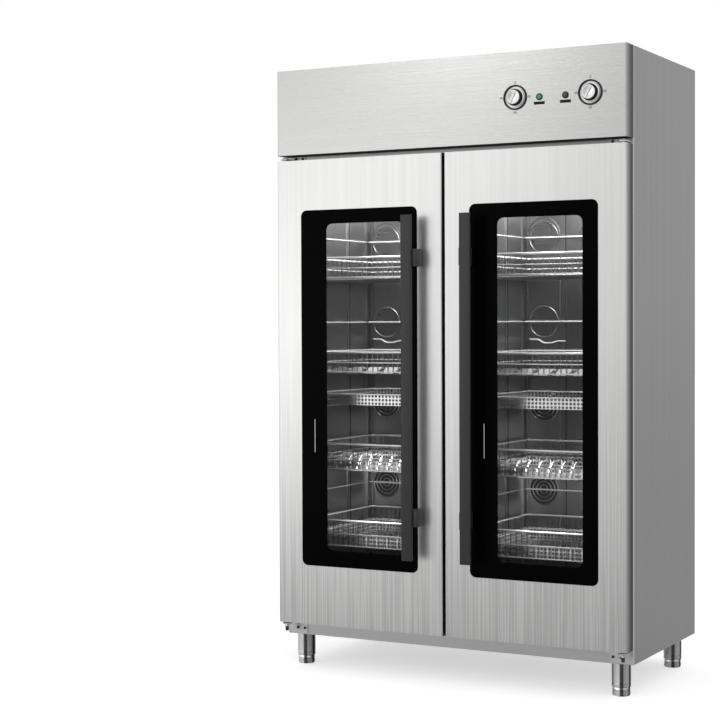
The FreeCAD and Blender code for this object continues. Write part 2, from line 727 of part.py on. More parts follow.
def make_heater():
    """Return the right heater: a hairpin tube between two end blocks on the back wall."""
    middle = (DUCT_FACE + DUCT_SHEET + BAY_BACK) / 2
    foot = FLOOR + HEATER_FOOT
    top = foot + HEATER_LENGTH - HEATER_HALF_WIDTH
    left = V(BAY_CENTRE - HEATER_HALF_WIDTH, middle, foot)
    right = V(BAY_CENTRE + HEATER_HALF_WIDTH, middle, foot)
    left_top = V(left.x, middle, top)
    right_top = V(right.x, middle, top)
    crown = V(BAY_CENTRE, middle, top + HEATER_HALF_WIDTH)
    path = Part.Wire(
        [
            Part.LineSegment(left, left_top).toShape(),
            Part.Arc(left_top, crown, right_top).toShape(),
            Part.LineSegment(right_top, right).toShape(),
        ]
    )
    profile = Part.Wire(Part.makeCircle(HEATER_TUBE_RADIUS, left, V(0, 0, 1)))
    tube = path.makePipeShell([profile], True, False)
    half = HEATER_BLOCK / 2
    blocks = []
    for end in (left, right):
        low = (end.x - half, middle - half, foot - half)
        high = (end.x + half, BAY_BACK, foot + half)
        blocks.append(block(low, high))
    return tube.fuse(blocks).removeSplitter()


def make_probe():
    """Return the right temperature probe under the bay ceiling."""
    x = BAY_OUT - PROBE_SIDE_INSET
    profile = [
        (0, 0),
        (PROBE_FLANGE_RADIUS, 0),
        (PROBE_FLANGE_RADIUS, PROBE_FLANGE),
        (PROBE_RADIUS, PROBE_FLANGE),
        (PROBE_RADIUS, PROBE_LENGTH),
        (0, PROBE_LENGTH),
    ]
    return turned(profile, (x, FRONT + PROBE_SETBACK, CEILING), (0, 0, -1))


# ---------------------------------------------------------------- controls
def make_controls():
    """Write timers, dial rings, knobs, lamps, terminal block and cable gland."""
    timers = []
    rings = []
    for side, x in KNOB_CENTRES.items():
        timers.append(make_timer(x))
        rings.append(make_dial_ring(x))
        save(side + "_knob", make_knob(x))
    save("timers", *timers)
    save("dial_rings", *rings)
    for name, x in LAMP_CENTRES.items():
        save(name + "_lamp", make_lamp(x))
    save("terminal_block", make_terminal_block())
    save("cable_gland", make_gland())


def nose_front():
    """Return the plane of the timer nose's front end."""
    return DOOR_FACE - NOSE_PROUD


def make_timer(x):
    """Return a timer behind the fascia, with a bored nose through it."""
    half = TIMER_SIZE / 2
    back = DOOR_FACE + SHEET
    body = block((x - half, back, CONTROL_Z - half), (x + half, back + TIMER_DEPTH, CONTROL_Z + half))
    nose = rod((x, nose_front(), CONTROL_Z), (0, 1, 0), back - nose_front() + SHEET, NOSE_RADIUS)
    bore_length = SPINDLE_REACH + SHEET
    bore_radius = SPINDLE_RADIUS + SPINDLE_CLEARANCE
    bore = rod((x, nose_front(), CONTROL_Z), (0, 1, 0), bore_length, bore_radius)
    return body.fuse(nose).cut(bore)


def make_dial_ring(x):
    """Return the black ring around a knob."""
    start = (x, DOOR_FACE - DIAL_THICKNESS, CONTROL_Z)
    ring = rod(start, (0, 1, 0), DIAL_THICKNESS, DIAL_RADIUS)
    return ring.cut(rod(start, (0, 1, 0), DIAL_THICKNESS, DIAL_RADIUS - DIAL_RIM))


def make_knob(x):
    """Return a knob: skirt, cap with a low grip across it, and spindle."""
    skirt_back = nose_front() - KNOB_GAP
    skirt_radius = DIAL_RADIUS - DIAL_RIM - SKIRT_CLEARANCE
    skirt = rod((x, skirt_back, CONTROL_Z), (0, -1, 0), SKIRT_THICKNESS, skirt_radius)
    cap = rod((x, skirt_back, CONTROL_Z), (0, -1, 0), SKIRT_THICKNESS + KNOB_HEIGHT, KNOB_RADIUS)
    face = skirt_back - SKIRT_THICKNESS - KNOB_HEIGHT
    grip_half = math.sqrt(KNOB_RADIUS**2 - (GRIP_WIDTH / 2) ** 2) - GRIP_MARGIN
    grip = block(
        (x - GRIP_WIDTH / 2, face - GRIP_HEIGHT, CONTROL_Z - grip_half),
        (x + GRIP_WIDTH / 2, face + GRIP_HEIGHT, CONTROL_Z + grip_half),
    )
    grip.rotate(V(x, face, CONTROL_Z), V(0, 1, 0), GRIP_ANGLE)
    spindle_length = SPINDLE_REACH + KNOB_GAP
    spindle = rod((x, skirt_back, CONTROL_Z), (0, 1, 0), spindle_length, SPINDLE_RADIUS)
    return cap.fuse([skirt, grip, spindle]).removeSplitter()


def make_lamp(x):
    """Return an indicator lamp: domed lens, rim and body through the fascia."""
    z = FASCIA_FOOT + LAMP_RISE
    dome_radius = (LAMP_RADIUS**2 + LAMP_DOME**2) / (2 * LAMP_DOME)
    rim_front = DOOR_FACE - LAMP_RIM
    rim = rod((x, DOOR_FACE, z), (0, -1, 0), LAMP_RIM, LAMP_RADIUS)
    ball = Part.makeSphere(dome_radius, V(x, rim_front - LAMP_DOME + dome_radius, z))
    dome = ball.common(rod((x, rim_front, z), (0, -1, 0), LAMP_DOME + 1, LAMP_RADIUS + 1))
    body = rod((x, DOOR_FACE, z), (0, 1, 0), LAMP_BODY_LENGTH, LAMP_BODY_RADIUS)
    return rim.fuse([dome, body]).removeSplitter()


def make_terminal_block():
    """Return the terminal block on the control shelf."""
    length, depth, height = TERMINAL_BLOCK
    low_x = TERMINAL_BLOCK_CENTRE - length / 2
    high_y = REAR - TERMINAL_BLOCK_REAR_GAP
    foot = SHELF + SHEET
    return block((low_x, high_y - depth, foot), (low_x + length, high_y, foot + height))


def make_gland():
    """Return the cable gland: thread through the back panel, hexagon and dome nut."""
    z = SHELF + GLAND_RISE
    inner_end = REAR - SHEET - GLAND_INSIDE
    thread_length = GLAND_INSIDE + SHEET + GLAND_REACH
    thread = rod((GLAND_CENTRE, inner_end, z), (0, 1, 0), thread_length, GLAND_THREAD_RADIUS)
    hexagons = []
    for start in (REAR, REAR - SHEET - GLAND_HEX_LENGTH):
        corners = []
        for index in range(7):
            angle = math.radians(60 * index)
            x = GLAND_CENTRE + GLAND_HEX * math.cos(angle)
            corners.append(V(x, start, z + GLAND_HEX * math.sin(angle)))
        hexagons.append(Part.Face(Part.makePolygon(corners)).extrude(V(0, GLAND_HEX_LENGTH, 0)))
    bore = rod((GLAND_CENTRE, inner_end, z), (0, 1, 0), thread_length, GLAND_BORE)
    return thread.fuse(hexagons).cut(bore)


# ---------------------------------------------------------------- doors
def door_low_x():
    """Return the free edge of the right door."""
    return CENTRE_GAP / 2


def pane_box(clearance, front, back):
    """Return the pane's rounded box, grown by a clearance at its edges."""
    low = (door_low_x() + GLASS_FREE_MARGIN - clearance, front, DOOR_FOOT + GLASS_BOTTOM_MARGIN - clearance)
    high = (HALF - GLASS_HINGE_MARGIN + clearance, back, DOOR_TOP - GLASS_TOP_MARGIN + clearance)
    pane = block(low, high)
    return pane.makeFillet(GLASS_RADIUS + clearance, upright_edges(pane, V(0, 1, 0)))


def make_door_skin():
    """Return the right door's outer skin, open to the rear."""
    low = (door_low_x(), DOOR_FACE, DOOR_FOOT)
    high = (HALF, DOOR_BACK, DOOR_TOP)
    outer = block(low, high)
    outer = outer.makeFillet(CORNER_RADIUS, outer_front_edges(outer, DOOR_FACE))
    inside = block(
        (low[0] + SHEET, DOOR_FACE + SHEET, DOOR_FOOT + SHEET),
        (HALF - SHEET, DOOR_BACK + SHEET, DOOR_TOP - SHEET),
    )
    inside = inside.makeFillet(CORNER_RADIUS - SHEET, outer_front_edges(inside, DOOR_FACE + SHEET))
    window = pane_box(GLASS_CLEARANCE, DOOR_FACE - SHEET, DOOR_FACE + 2 * SHEET)
    pin_hole = rod(
        (PIVOT_X, PIVOT_Y, DOOR_FOOT - SHEET),
        (0, 0, 1),
        DOOR_TOP - DOOR_FOOT + 2 * SHEET,
        PIN_RADIUS + PIN_CLEARANCE,
    )
    return outer.cut([inside, window, pin_hole])


def make_door_core():
    """Return the right door's insulating core, with a seat for the pane."""
    low = (door_low_x() + SHEET, DOOR_FACE + SHEET, DOOR_FOOT + SHEET)
    high = (HALF - SHEET, DOOR_BACK - SHEET, DOOR_TOP - SHEET)
    core = block(low, high)
    core = core.makeFillet(CORNER_RADIUS - SHEET, outer_front_edges(core, DOOR_FACE + SHEET))
    seat = pane_box(GLASS_CLEARANCE, DOOR_FACE, DOOR_FACE + GLASS_THICKNESS)
    cutters = [seat, window_cutter()]
    pocket_radius = PIN_RADIUS + PIN_POCKET
    pocket_length = PIN_REACH + PIN_POCKET
    for start, direction in ((DOOR_FOOT, 1), (DOOR_TOP, -1)):
        cutters.append(rod((PIVOT_X, PIVOT_Y, start), (0, 0, direction), pocket_length, pocket_radius))
    return core.cut(cutters)


def window_cutter():
    """Return the square-cornered window through core and inner panel."""
    low_x = door_low_x() + GLASS_FREE_MARGIN + GLASS_SEAT
    high_x = HALF - GLASS_HINGE_MARGIN - GLASS_SEAT
    low_z = DOOR_FOOT + GLASS_BOTTOM_MARGIN + GLASS_SEAT
    high_z = DOOR_TOP - GLASS_TOP_MARGIN - GLASS_SEAT
    return block((low_x, DOOR_FACE, low_z), (high_x, DOOR_BACK + SHEET, high_z))


def make_inner_panel():
    """Return the sheet that closes the right door's back around the window."""
    low = (door_low_x() + SHEET, DOOR_BACK - SHEET, DOOR_FOOT + SHEET)
    high = (HALF - SHEET, DOOR_BACK, DOOR_TOP - SHEET)
    return block(low, high).cut(window_cutter())


def make_gasket():
    """Return the right door's gasket ring."""
    thickness = DOOR_GAP - GASKET_CLEARANCE
    low = V(door_low_x() + GASKET_INSET, DOOR_BACK, DOOR_FOOT + GASKET_INSET)
    size = V(HALF - GASKET_INSET - low.x, 0, DOOR_TOP - GASKET_INSET - low.z)
    inner = low + V(GASKET_WIDTH, 0, GASKET_WIDTH)
    across = V(size.x, 0, 0)
    up = V(0, 0, size.z)
    hole = rectangle(inner, across - V(2 * GASKET_WIDTH, 0, 0), up - V(0, 0, 2 * GASKET_WIDTH))
    return flat_with_holes(rectangle(low, across, up), [hole], V(0, thickness, 0))


def make_handle():
    """Return the right door's handle bar and its two brackets."""
    centre = door_low_x() + HANDLE_INSET
    front = DOOR_FACE - HANDLE_STANDOFF
    foot = DOOR_FOOT + HANDLE_RISE
    half = HANDLE_WIDTH / 2
    bar = block((centre - half, front, foot), (centre + half, front + HANDLE_THICKNESS, foot + HANDLE_LENGTH))
    bar = bar.makeFillet(HANDLE_EDGE, outer_front_edges(bar, front))
    bracket_centre = centre - BRACKET_OFFSET
    brackets = []
    for z in (foot + BRACKET_INSET, foot + HANDLE_LENGTH - BRACKET_INSET):
        low = (bracket_centre - BRACKET_WIDTH / 2, front + HANDLE_THICKNESS, z - BRACKET_HEIGHT / 2)
        high = (bracket_centre + BRACKET_WIDTH / 2, DOOR_FACE, z + BRACKET_HEIGHT / 2)
        brackets.append(block(low, high))
    return bar, brackets


def make_doors():
    """Write both doors with all that moves with them."""
    bar, brackets = make_handle()
    pieces = {
        "door_skin": [make_door_skin()],
        "door_core": [make_door_core()],
        "door_inner_panel": [make_inner_panel()],
        "door_glass": [pane_box(0, DOOR_FACE, DOOR_FACE + GLASS_THICKNESS)],
        "door_gasket": [make_gasket()],
        "door_handle": [bar],
        "handle_brackets": brackets,
    }
    for name, solids in pieces.items():
        for side in SIDES:
            save(side + "_" + name, *[on_side(solid, side) for solid in solids])


# ---------------------------------------------------------------- hinges
def make_hinges():
    """Write the pivot brackets, their pins and their screws."""
    lower = make_bracket(lower_leaf_top() - LEAF_THICKNESS, -LOWER_PLATE_DROP, lower_screw_places())
    upper = make_bracket(upper_leaf_foot(), UPPER_PLATE_RISE, upper_screw_places())
    save("hinge_brackets", *both(lower), *both(upper))

    save("hinge_pins", *both(make_lower_pin()), *both(make_upper_pin()))

    screws = []
    for places, sheet in ((lower_screw_places(), SHEET), (upper_screw_places(), FRAME_SHEET)):
        for x, z in places:
            profile = [
                (0, 0),
                (SCREW_HEAD_RADIUS, 0),
                (SCREW_HEAD_RADIUS, SCREW_HEAD),
                (SCREW_RADIUS, SCREW_HEAD),
                (SCREW_RADIUS, SCREW_HEAD + MOUNTING_PLATE + sheet),
                (0, SCREW_HEAD + MOUNTING_PLATE + sheet),
            ]
            start = (x, FRONT - MOUNTING_PLATE - SCREW_HEAD, z)
            screws += both(turned(profile, start, (0, 1, 0)))
    save("bracket_screws", *screws)


def make_bracket(leaf_foot, plate_reach, screw_places):
    """Return a right bracket: a leaf round the pivot and a plate on the front frame."""
    leaf_top = leaf_foot + LEAF_THICKNESS
    plate_foot = min(leaf_foot, leaf_foot + plate_reach)
    plate_top = max(leaf_top, leaf_top + plate_reach)
    plate = block(
        (INNER_HALF - MOUNTING_LENGTH, FRONT - MOUNTING_PLATE, plate_foot),
        (INNER_HALF, FRONT, plate_top),
    )
    arm = block(
        (PIVOT_X - LEAF_NOSE, PIVOT_Y, leaf_foot),
        (PIVOT_X + LEAF_NOSE, FRONT - MOUNTING_PLATE, leaf_top),
    )
    nose = rod((PIVOT_X, PIVOT_Y, leaf_foot), (0, 0, 1), LEAF_THICKNESS, LEAF_NOSE)
    hole = rod((PIVOT_X, PIVOT_Y, leaf_foot), (0, 0, 1), LEAF_THICKNESS, PIN_RADIUS + PIN_CLEARANCE)
    return plate.fuse([arm, nose]).cut([hole] + screw_holes(screw_places, FRAME_SHEET))


def make_lower_pin():
    """Return the right lower pin: nut under the leaf, collar under the door."""
    nut_foot = lower_leaf_top() - LEAF_THICKNESS - NUT_HEIGHT
    collar_top = DOOR_FOOT - COLLAR_CLEARANCE
    profile = [
        (0, 0),
        (NUT_RADIUS, 0),
        (NUT_RADIUS, NUT_HEIGHT),
        (PIN_RADIUS, NUT_HEIGHT),
        (PIN_RADIUS, NUT_HEIGHT + LEAF_THICKNESS),
        (COLLAR_RADIUS, NUT_HEIGHT + LEAF_THICKNESS),
        (COLLAR_RADIUS, collar_top - nut_foot),
        (PIN_RADIUS, collar_top - nut_foot),
        (PIN_RADIUS, DOOR_FOOT + PIN_REACH - nut_foot),
        (0, DOOR_FOOT + PIN_REACH - nut_foot),
    ]
    return turned(profile, (PIVOT_X, PIVOT_Y, nut_foot), (0, 0, 1))


def make_upper_pin():
    """Return the right upper pin: a head on the leaf and a shank into the door."""
    head_foot = upper_leaf_foot() + LEAF_THICKNESS
    profile = [
        (0, 0),
        (COLLAR_RADIUS, 0),
        (COLLAR_RADIUS, PIN_HEAD),
        (PIN_RADIUS, PIN_HEAD),
        (PIN_RADIUS, PIN_HEAD + head_foot - DOOR_TOP + PIN_REACH),
        (0, PIN_HEAD + head_foot - DOOR_TOP + PIN_REACH),
    ]
    return turned(profile, (PIVOT_X, PIVOT_Y, head_foot + PIN_HEAD), (0, 0, -1))


# ---------------------------------------------------------------- legs and feet
def make_legs():
    """Write the leg tubes under the base and the adjusting foot in each."""
    places = {
        "front": FRONT + LEG_FRONT_INSET,
        "rear": REAR - LEG_REAR_INSET,
    }
    x = HALF - LEG_SIDE_INSET
    tubes = []
    for end, y in places.items():
        tubes += both(make_leg_tube(x, y))
        for side in SIDES:
            save("foot_" + end + "_" + side, on_side(make_foot(x, y), side))
    save("leg_tubes", *tubes)


def make_leg_tube(x, y):
    """Return a leg: flange under the base, tube and bored plug at the lower end."""
    foot = FOOT_HEIGHT + FOOT_GAP
    inner = LEG_RADIUS - LEG_WALL
    bore = STEM_RADIUS + STEM_CLEARANCE
    profile = [
        (bore, foot),
        (LEG_RADIUS, foot),
        (LEG_RADIUS, LEG_HEIGHT - LEG_FLANGE),
        (LEG_FLANGE_RADIUS, LEG_HEIGHT - LEG_FLANGE),
        (LEG_FLANGE_RADIUS, LEG_HEIGHT),
        (inner, LEG_HEIGHT),
        (inner, foot + LEG_PLUG),
        (bore, foot + LEG_PLUG),
    ]
    return turned(profile, (x, y, 0), (0, 0, 1))


def make_foot(x, y):
    """Return an adjusting foot: a rounded disc and a stem into the leg's plug."""
    disc = rod((x, y, 0), (0, 0, 1), FOOT_HEIGHT, FOOT_RADIUS)
    rim = [edge for edge in disc.Edges if edge.Closed and edge.BoundBox.ZMax < 1]
    disc = disc.makeFillet(FOOT_ROUNDING, rim)
    return disc.fuse(rod((x, y, 0), (0, 0, 1), FOOT_HEIGHT + STEM_LENGTH, STEM_RADIUS)).removeSplitter()


os.makedirs("parts", exist_ok=True)
make_casing()
make_liner()
make_racks()
make_baskets()
make_air_system()
make_controls()
make_doors()
make_hinges()
make_legs()
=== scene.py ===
"""Looks of a two-door dish sterilizer cabinet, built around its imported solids.

Units are metres. +Z is up, the front faces -Y, and +X is to the right, seen from the front.
"""

import logging
import math
from collections.abc import Callable, Mapping, Sequence
from dataclasses import dataclass, field
from enum import Enum
from typing import Optional, Union

import bmesh
import bpy
from mathutils import Matrix, Vector


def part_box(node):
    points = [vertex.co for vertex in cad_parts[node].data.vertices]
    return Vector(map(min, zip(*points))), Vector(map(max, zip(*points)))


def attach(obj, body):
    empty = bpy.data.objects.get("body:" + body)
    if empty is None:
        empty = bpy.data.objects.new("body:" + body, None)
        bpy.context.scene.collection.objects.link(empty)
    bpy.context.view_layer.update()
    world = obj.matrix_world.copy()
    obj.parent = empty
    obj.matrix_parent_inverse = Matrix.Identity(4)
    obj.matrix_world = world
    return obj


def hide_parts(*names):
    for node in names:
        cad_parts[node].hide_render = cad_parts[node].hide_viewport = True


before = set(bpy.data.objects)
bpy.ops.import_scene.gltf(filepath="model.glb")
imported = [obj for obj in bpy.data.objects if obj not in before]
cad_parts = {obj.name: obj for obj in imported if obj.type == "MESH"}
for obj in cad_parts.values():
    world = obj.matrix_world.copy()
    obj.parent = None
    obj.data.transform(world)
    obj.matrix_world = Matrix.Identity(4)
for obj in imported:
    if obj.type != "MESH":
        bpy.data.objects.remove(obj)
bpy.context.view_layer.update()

LOG = logging.getLogger("cabinet")
CABINET = "cabinet"
WELD = 1e-6
SHARP = math.radians(35.0)
ACROSS, DEEP, UP = Vector((1, 0, 0)), Vector((0, 1, 0)), Vector((0, 0, 1))
OUTWARD = -DEEP

Color = tuple[float, float, float]
Flat = tuple[float, float]
Point = Sequence[float]
Box = tuple[Vector, Vector]
Row = tuple[int, Vector]
Socket = bpy.types.NodeSocket
Inputs = Mapping[str, Socket]
Material = bpy.types.Material
Object = bpy.types.Object
Tree = bpy.types.NodeTree
ONE: Row = (1, Vector())


class Side(Enum):
    """The two halves of the cabinet, with the sign of X on each."""

    LEFT = -1
    RIGHT = 1

    @property
    def label(self) -> str:
        """Return the side's name as the nodes spell it."""
        return self.name.lower()

    def box(self, low: Point, high: Point) -> Box:
        """Return a right-hand box's corners on this side."""
        xs = sorted((self.value * low[0], self.value * high[0]))
        return Vector((xs[0], low[1], low[2])), Vector((xs[1], high[1], high[2]))


class Axis(Enum):
    """The axes of the cabinet, with their places in a point."""

    X = 0
    Y = 1
    Z = 2

    def place(self, outline: Sequence[Flat], height: float) -> list[Vector]:
        """Return the points of a flat outline that lies across the axis at a height."""
        points = []
        for u, v in outline:
            point = [u, v]
            point.insert(self.value, height)
            points.append(Vector(point))
        return points

    def flat(self, point: Vector) -> Flat:
        """Return a point's two places across the axis."""
        return tuple(place for index, place in enumerate(point) if index != self.value)

    def corners(self, box: Box, inset: float) -> list[Flat]:
        """Return the corners of a box seen along the axis, drawn in by an inset."""
        (u0, v0), (u1, v1) = self.flat(box[0]), self.flat(box[1])
        u0, v0, u1, v1 = u0 + inset, v0 + inset, u1 - inset, v1 - inset
        return [(u0, v0), (u1, v0), (u1, v1), (u0, v1)]


# ---------------------------------------------------------------- outlines
def arc(centre: Flat, radii: Flat, start: float, turn: float, steps: int) -> list[Flat]:
    """Return the points of an arc, with its angles in degrees.

    Args:
        centre: middle of the arc.
        radii: reach along either side; a negative one mirrors the arc.
        start: angle of the first point.
        turn: angle from the first point to the last.
        steps: straight pieces.

    Returns:
        One point more than there are pieces.
    """
    points = []
    for step in range(steps + 1):
        angle = math.radians(start + turn * step / steps)
        u, v = radii[0] * math.cos(angle), radii[1] * math.sin(angle)
        points.append((centre[0] + u, centre[1] + v))
    return points


def bent(points: Sequence[Point], bend: float, closed: bool, steps: int = 4) -> list[Vector]:
    """Round the corners of a run of straight stretches, as a wire bender does.

    Args:
        points: corners of the run.
        bend: radius of each bend at the centre line.
        closed: whether the run comes back to its start.
        steps: straight pieces in each bend.

    Returns:
        The points of the rounded run.
    """
    corners = [Vector(point) for point in points]
    rounded: list[Vector] = []
    for index, corner in enumerate(corners):
        if not closed and index in (0, len(corners) - 1):
            rounded.append(corner)
            continue
        back = (corners[index - 1] - corner).normalized()
        ahead = (corners[(index + 1) % len(corners)] - corner).normalized()
        half_turn = back.angle(ahead) / 2
        reach = bend / math.tan(half_turn)
        centre = corner + (back + ahead).normalized() * (bend / math.sin(half_turn))
        start = corner + back * reach - centre
        end = corner + ahead * reach - centre
        rounded += [centre + start.slerp(end, step / steps) * bend for step in range(steps + 1)]
    return rounded


def rounded_rectangle(corners: Sequence[Flat], radius: float, steps: int = 6) -> list[Flat]:
    """Return a rectangle with round corners, from the centres of its corners."""
    outline: list[Flat] = []
    for turn, centre in enumerate(corners):
        outline += arc(centre, (radius, radius), 180.0 + 90.0 * turn, 90.0, steps)
    return outline


# ---------------------------------------------------------------- meshes
class Mould:
    """Collects the faces of one piece and turns them into an object at the origin."""

    def __init__(self) -> None:
        """Start with no faces."""
        self.bm = bmesh.new()

    def box(self, low: Point, high: Point, radius: float = 0.0, segments: int = 2) -> None:
        """Add a box, with rounded edges when a radius is given.

        Args:
            low: lowest corner.
            high: highest corner.
            radius: radius of every edge.
            segments: faces across each rounded edge.
        """
        verts = bmesh.ops.create_cube(self.bm, size=1.0)["verts"]
        size = Vector(high) - Vector(low)
        middle = (Vector(high) + Vector(low)) / 2
        for vert in verts:
            vert.co = middle + vert.co * size
        if radius > 0:
            edges = list({edge for vert in verts for edge in vert.link_edges})
            bmesh.ops.bevel(
                self.bm, geom=edges, offset=radius, segments=segments, profile=0.5, affect="EDGES"
            )

    def _loop(self, points: Sequence[Vector]) -> list[bmesh.types.BMVert]:
        """Add one row of points."""
        return [self.bm.verts.new(point) for point in points]

    def _bridge(self, first: list, second: list) -> None:
        """Join two rows of points with faces; a row of one point is a pole."""
        count = max(len(first), len(second))
        for index in range(count):
            after = (index + 1) % count
            if len(first) == 1:
                corners = (first[0], second[after], second[index])
            elif len(second) == 1:
                corners = (first[index], first[after], second[0])
            else:
                corners = (first[index], first[after], second[after], second[index])
            self.bm.faces.new(corners)

    def _chain(self, rows: list[list], ring: bool) -> None:
        """Join each row with the next, and the last with the first in a ring."""
        for first, second in zip(rows, rows[1:] + (rows[:1] if ring else [])):
            self._bridge(first, second)

    def lathe(
        self, profile: Sequence[Flat], centre: Point, axis: Vector, segments: int = 48
    ) -> None:
        """Revolve (radius, height) points about an axis.

        Args:
            profile: points from one end to the other; a zero radius makes a pole, and a
                profile that ends where it starts makes a closed ring.
            centre: place of height zero on the axis.
            axis: direction in which the heights run.
            segments: faces around the axis.
        """
        turn = UP.rotation_difference(axis).to_matrix()
        ring = profile[0] == profile[-1]
        rows = []
        for radius, height in profile[:-1] if ring else profile:
            points = []
            for index in range(1 if radius < WELD else segments):
                angle = math.tau * index / segments
                flat = Vector((radius * math.cos(angle), radius * math.sin(angle), height))
                points.append(Vector(centre) + turn @ flat)
            rows.append(self._loop(points))
        self._chain(rows, ring)

    def tube(self, path: Sequence[Vector], radius: float, closed: bool, sides: int = 10) -> None:
        """Sweep a round section along a path.

        Args:
            path: points of the centre line.
            radius: radius of the section.
            closed: whether the path comes back to its start.
            sides: faces around the section.
        """
        count = len(path)
        rows = []
        across: Optional[Vector] = None
        for index, point in enumerate(path):
            back = path[index - 1] if closed or index else point
            ahead = path[(index + 1) % count] if closed or index < count - 1 else point
            along = (ahead - back).normalized()
            if across is None:
                across = along.orthogonal().normalized()
            across = (across - along * across.dot(along)).normalized()
            other = along.cross(across)
            ring = arc((0.0, 0.0), (radius, radius), 0.0, 360.0, sides)[:-1]
            rows.append(self._loop([point + across * u + other * v for u, v in ring]))
        self._chain(rows, False)
        if closed:
            first = rows[0][0].co
            shift = min(range(sides), key=lambda step: (rows[-1][step].co - first).length)
            self._bridge(rows[-1][shift:] + rows[-1][:shift], rows[0])
        else:
            self.bm.faces.new(rows[0])
            self.bm.faces.new(rows[-1])

    def prism(self, outline: Sequence[Flat], axis: Axis, low: float, high: float) -> None:
        """Extrude a flat outline along an axis."""
        ends = [self._loop(axis.place(outline, height)) for height in (low, high)]
        self._bridge(*ends)
        for end in ends:
            self.bm.faces.new(end)

    def frame(
        self, outer: Sequence[Flat], inner: Sequence[Flat], axis: Axis, low: float, high: float
    ) -> None:
        """Extrude the ring between two outlines of as many points along an axis."""
        edges = ((outer, low), (outer, high), (inner, high), (inner, low))
        self._chain([self._loop(axis.place(outline, height)) for outline, height in edges], True)

    def cell(self, corner: Point, u: Vector, v: Vector, hole: Flat, thickness: Vector) -> None:
        """Add one rectangle of perforated sheet with an eight-sided hole in it.

        Args:
            corner: the rectangle's corner.
            u: first side of the rectangle.
            v: second side of the rectangle.
            hole: half the hole's size along either side.
            thickness: vector from one face of the sheet to the other.
        """
        middle = Vector(corner) + u / 2 + v / 2
        places = ((0, -1), (1, -1), (1, 0), (1, 1), (0, 1), (-1, 1), (-1, 0), (-1, -1))
        round_places = arc((0.0, 0.0), hole, -90.0, 360.0, len(places))[:-1]
        unit_u, unit_v = u.normalized(), v.normalized()
        rows = []
        for lift in (Vector(), thickness):
            edge = [middle + u * (a / 2) + v * (b / 2) + lift for a, b in places]
            rim = [middle + unit_u * a + unit_v * b + lift for a, b in round_places]
            rows.append((self._loop(edge), self._loop(rim)))
        (edge, rim), (far_edge, far_rim) = rows
        mirrored = u.cross(v).dot(thickness) < 0
        for pair in ((rim, edge), (far_edge, far_rim), (far_rim, rim)):
            self._bridge(*(reversed(pair) if mirrored else pair))

    def piece(self, name: str, material: Material, shut: bool = True) -> Object:
        """Turn the faces into an object.

        Args:
            name: name of the object.
            material: its finish.
            shut: whether the faces close, so that their normals can be recalculated.

        Returns:
            The object, linked to the scene.
        """
        bmesh.ops.remove_doubles(self.bm, verts=self.bm.verts, dist=WELD)
        if shut:
            bmesh.ops.recalc_face_normals(self.bm, faces=self.bm.faces)
        mesh = bpy.data.meshes.new(name)
        self.bm.to_mesh(mesh)
        self.bm.free()
        mesh.materials.append(material)
        soften(mesh)
        return link(name, mesh)


def soften(mesh: bpy.types.Mesh) -> None:
    """Shade a mesh smoothly up to its sharp edges."""
    mesh.shade_smooth()
    mesh.set_sharp_from_angle(angle=SHARP)


def link(name: str, data: bpy.types.ID) -> Object:
    """Put data into the scene as a named object."""
    obj = bpy.data.objects.new(name, data)
    bpy.context.scene.collection.objects.link(obj)
    return obj


# ---------------------------------------------------------------- node trees
class Kind(Enum):
    """Kinds of socket that the trees take and give."""

    COUNT = "NodeSocketInt"
    VECTOR = "NodeSocketVector"
    NUMBER = "NodeSocketFloat"
    SHAPE = "NodeSocketObject"
    FINISH = "NodeSocketMaterial"
    GEOMETRY = "NodeSocketGeometry"


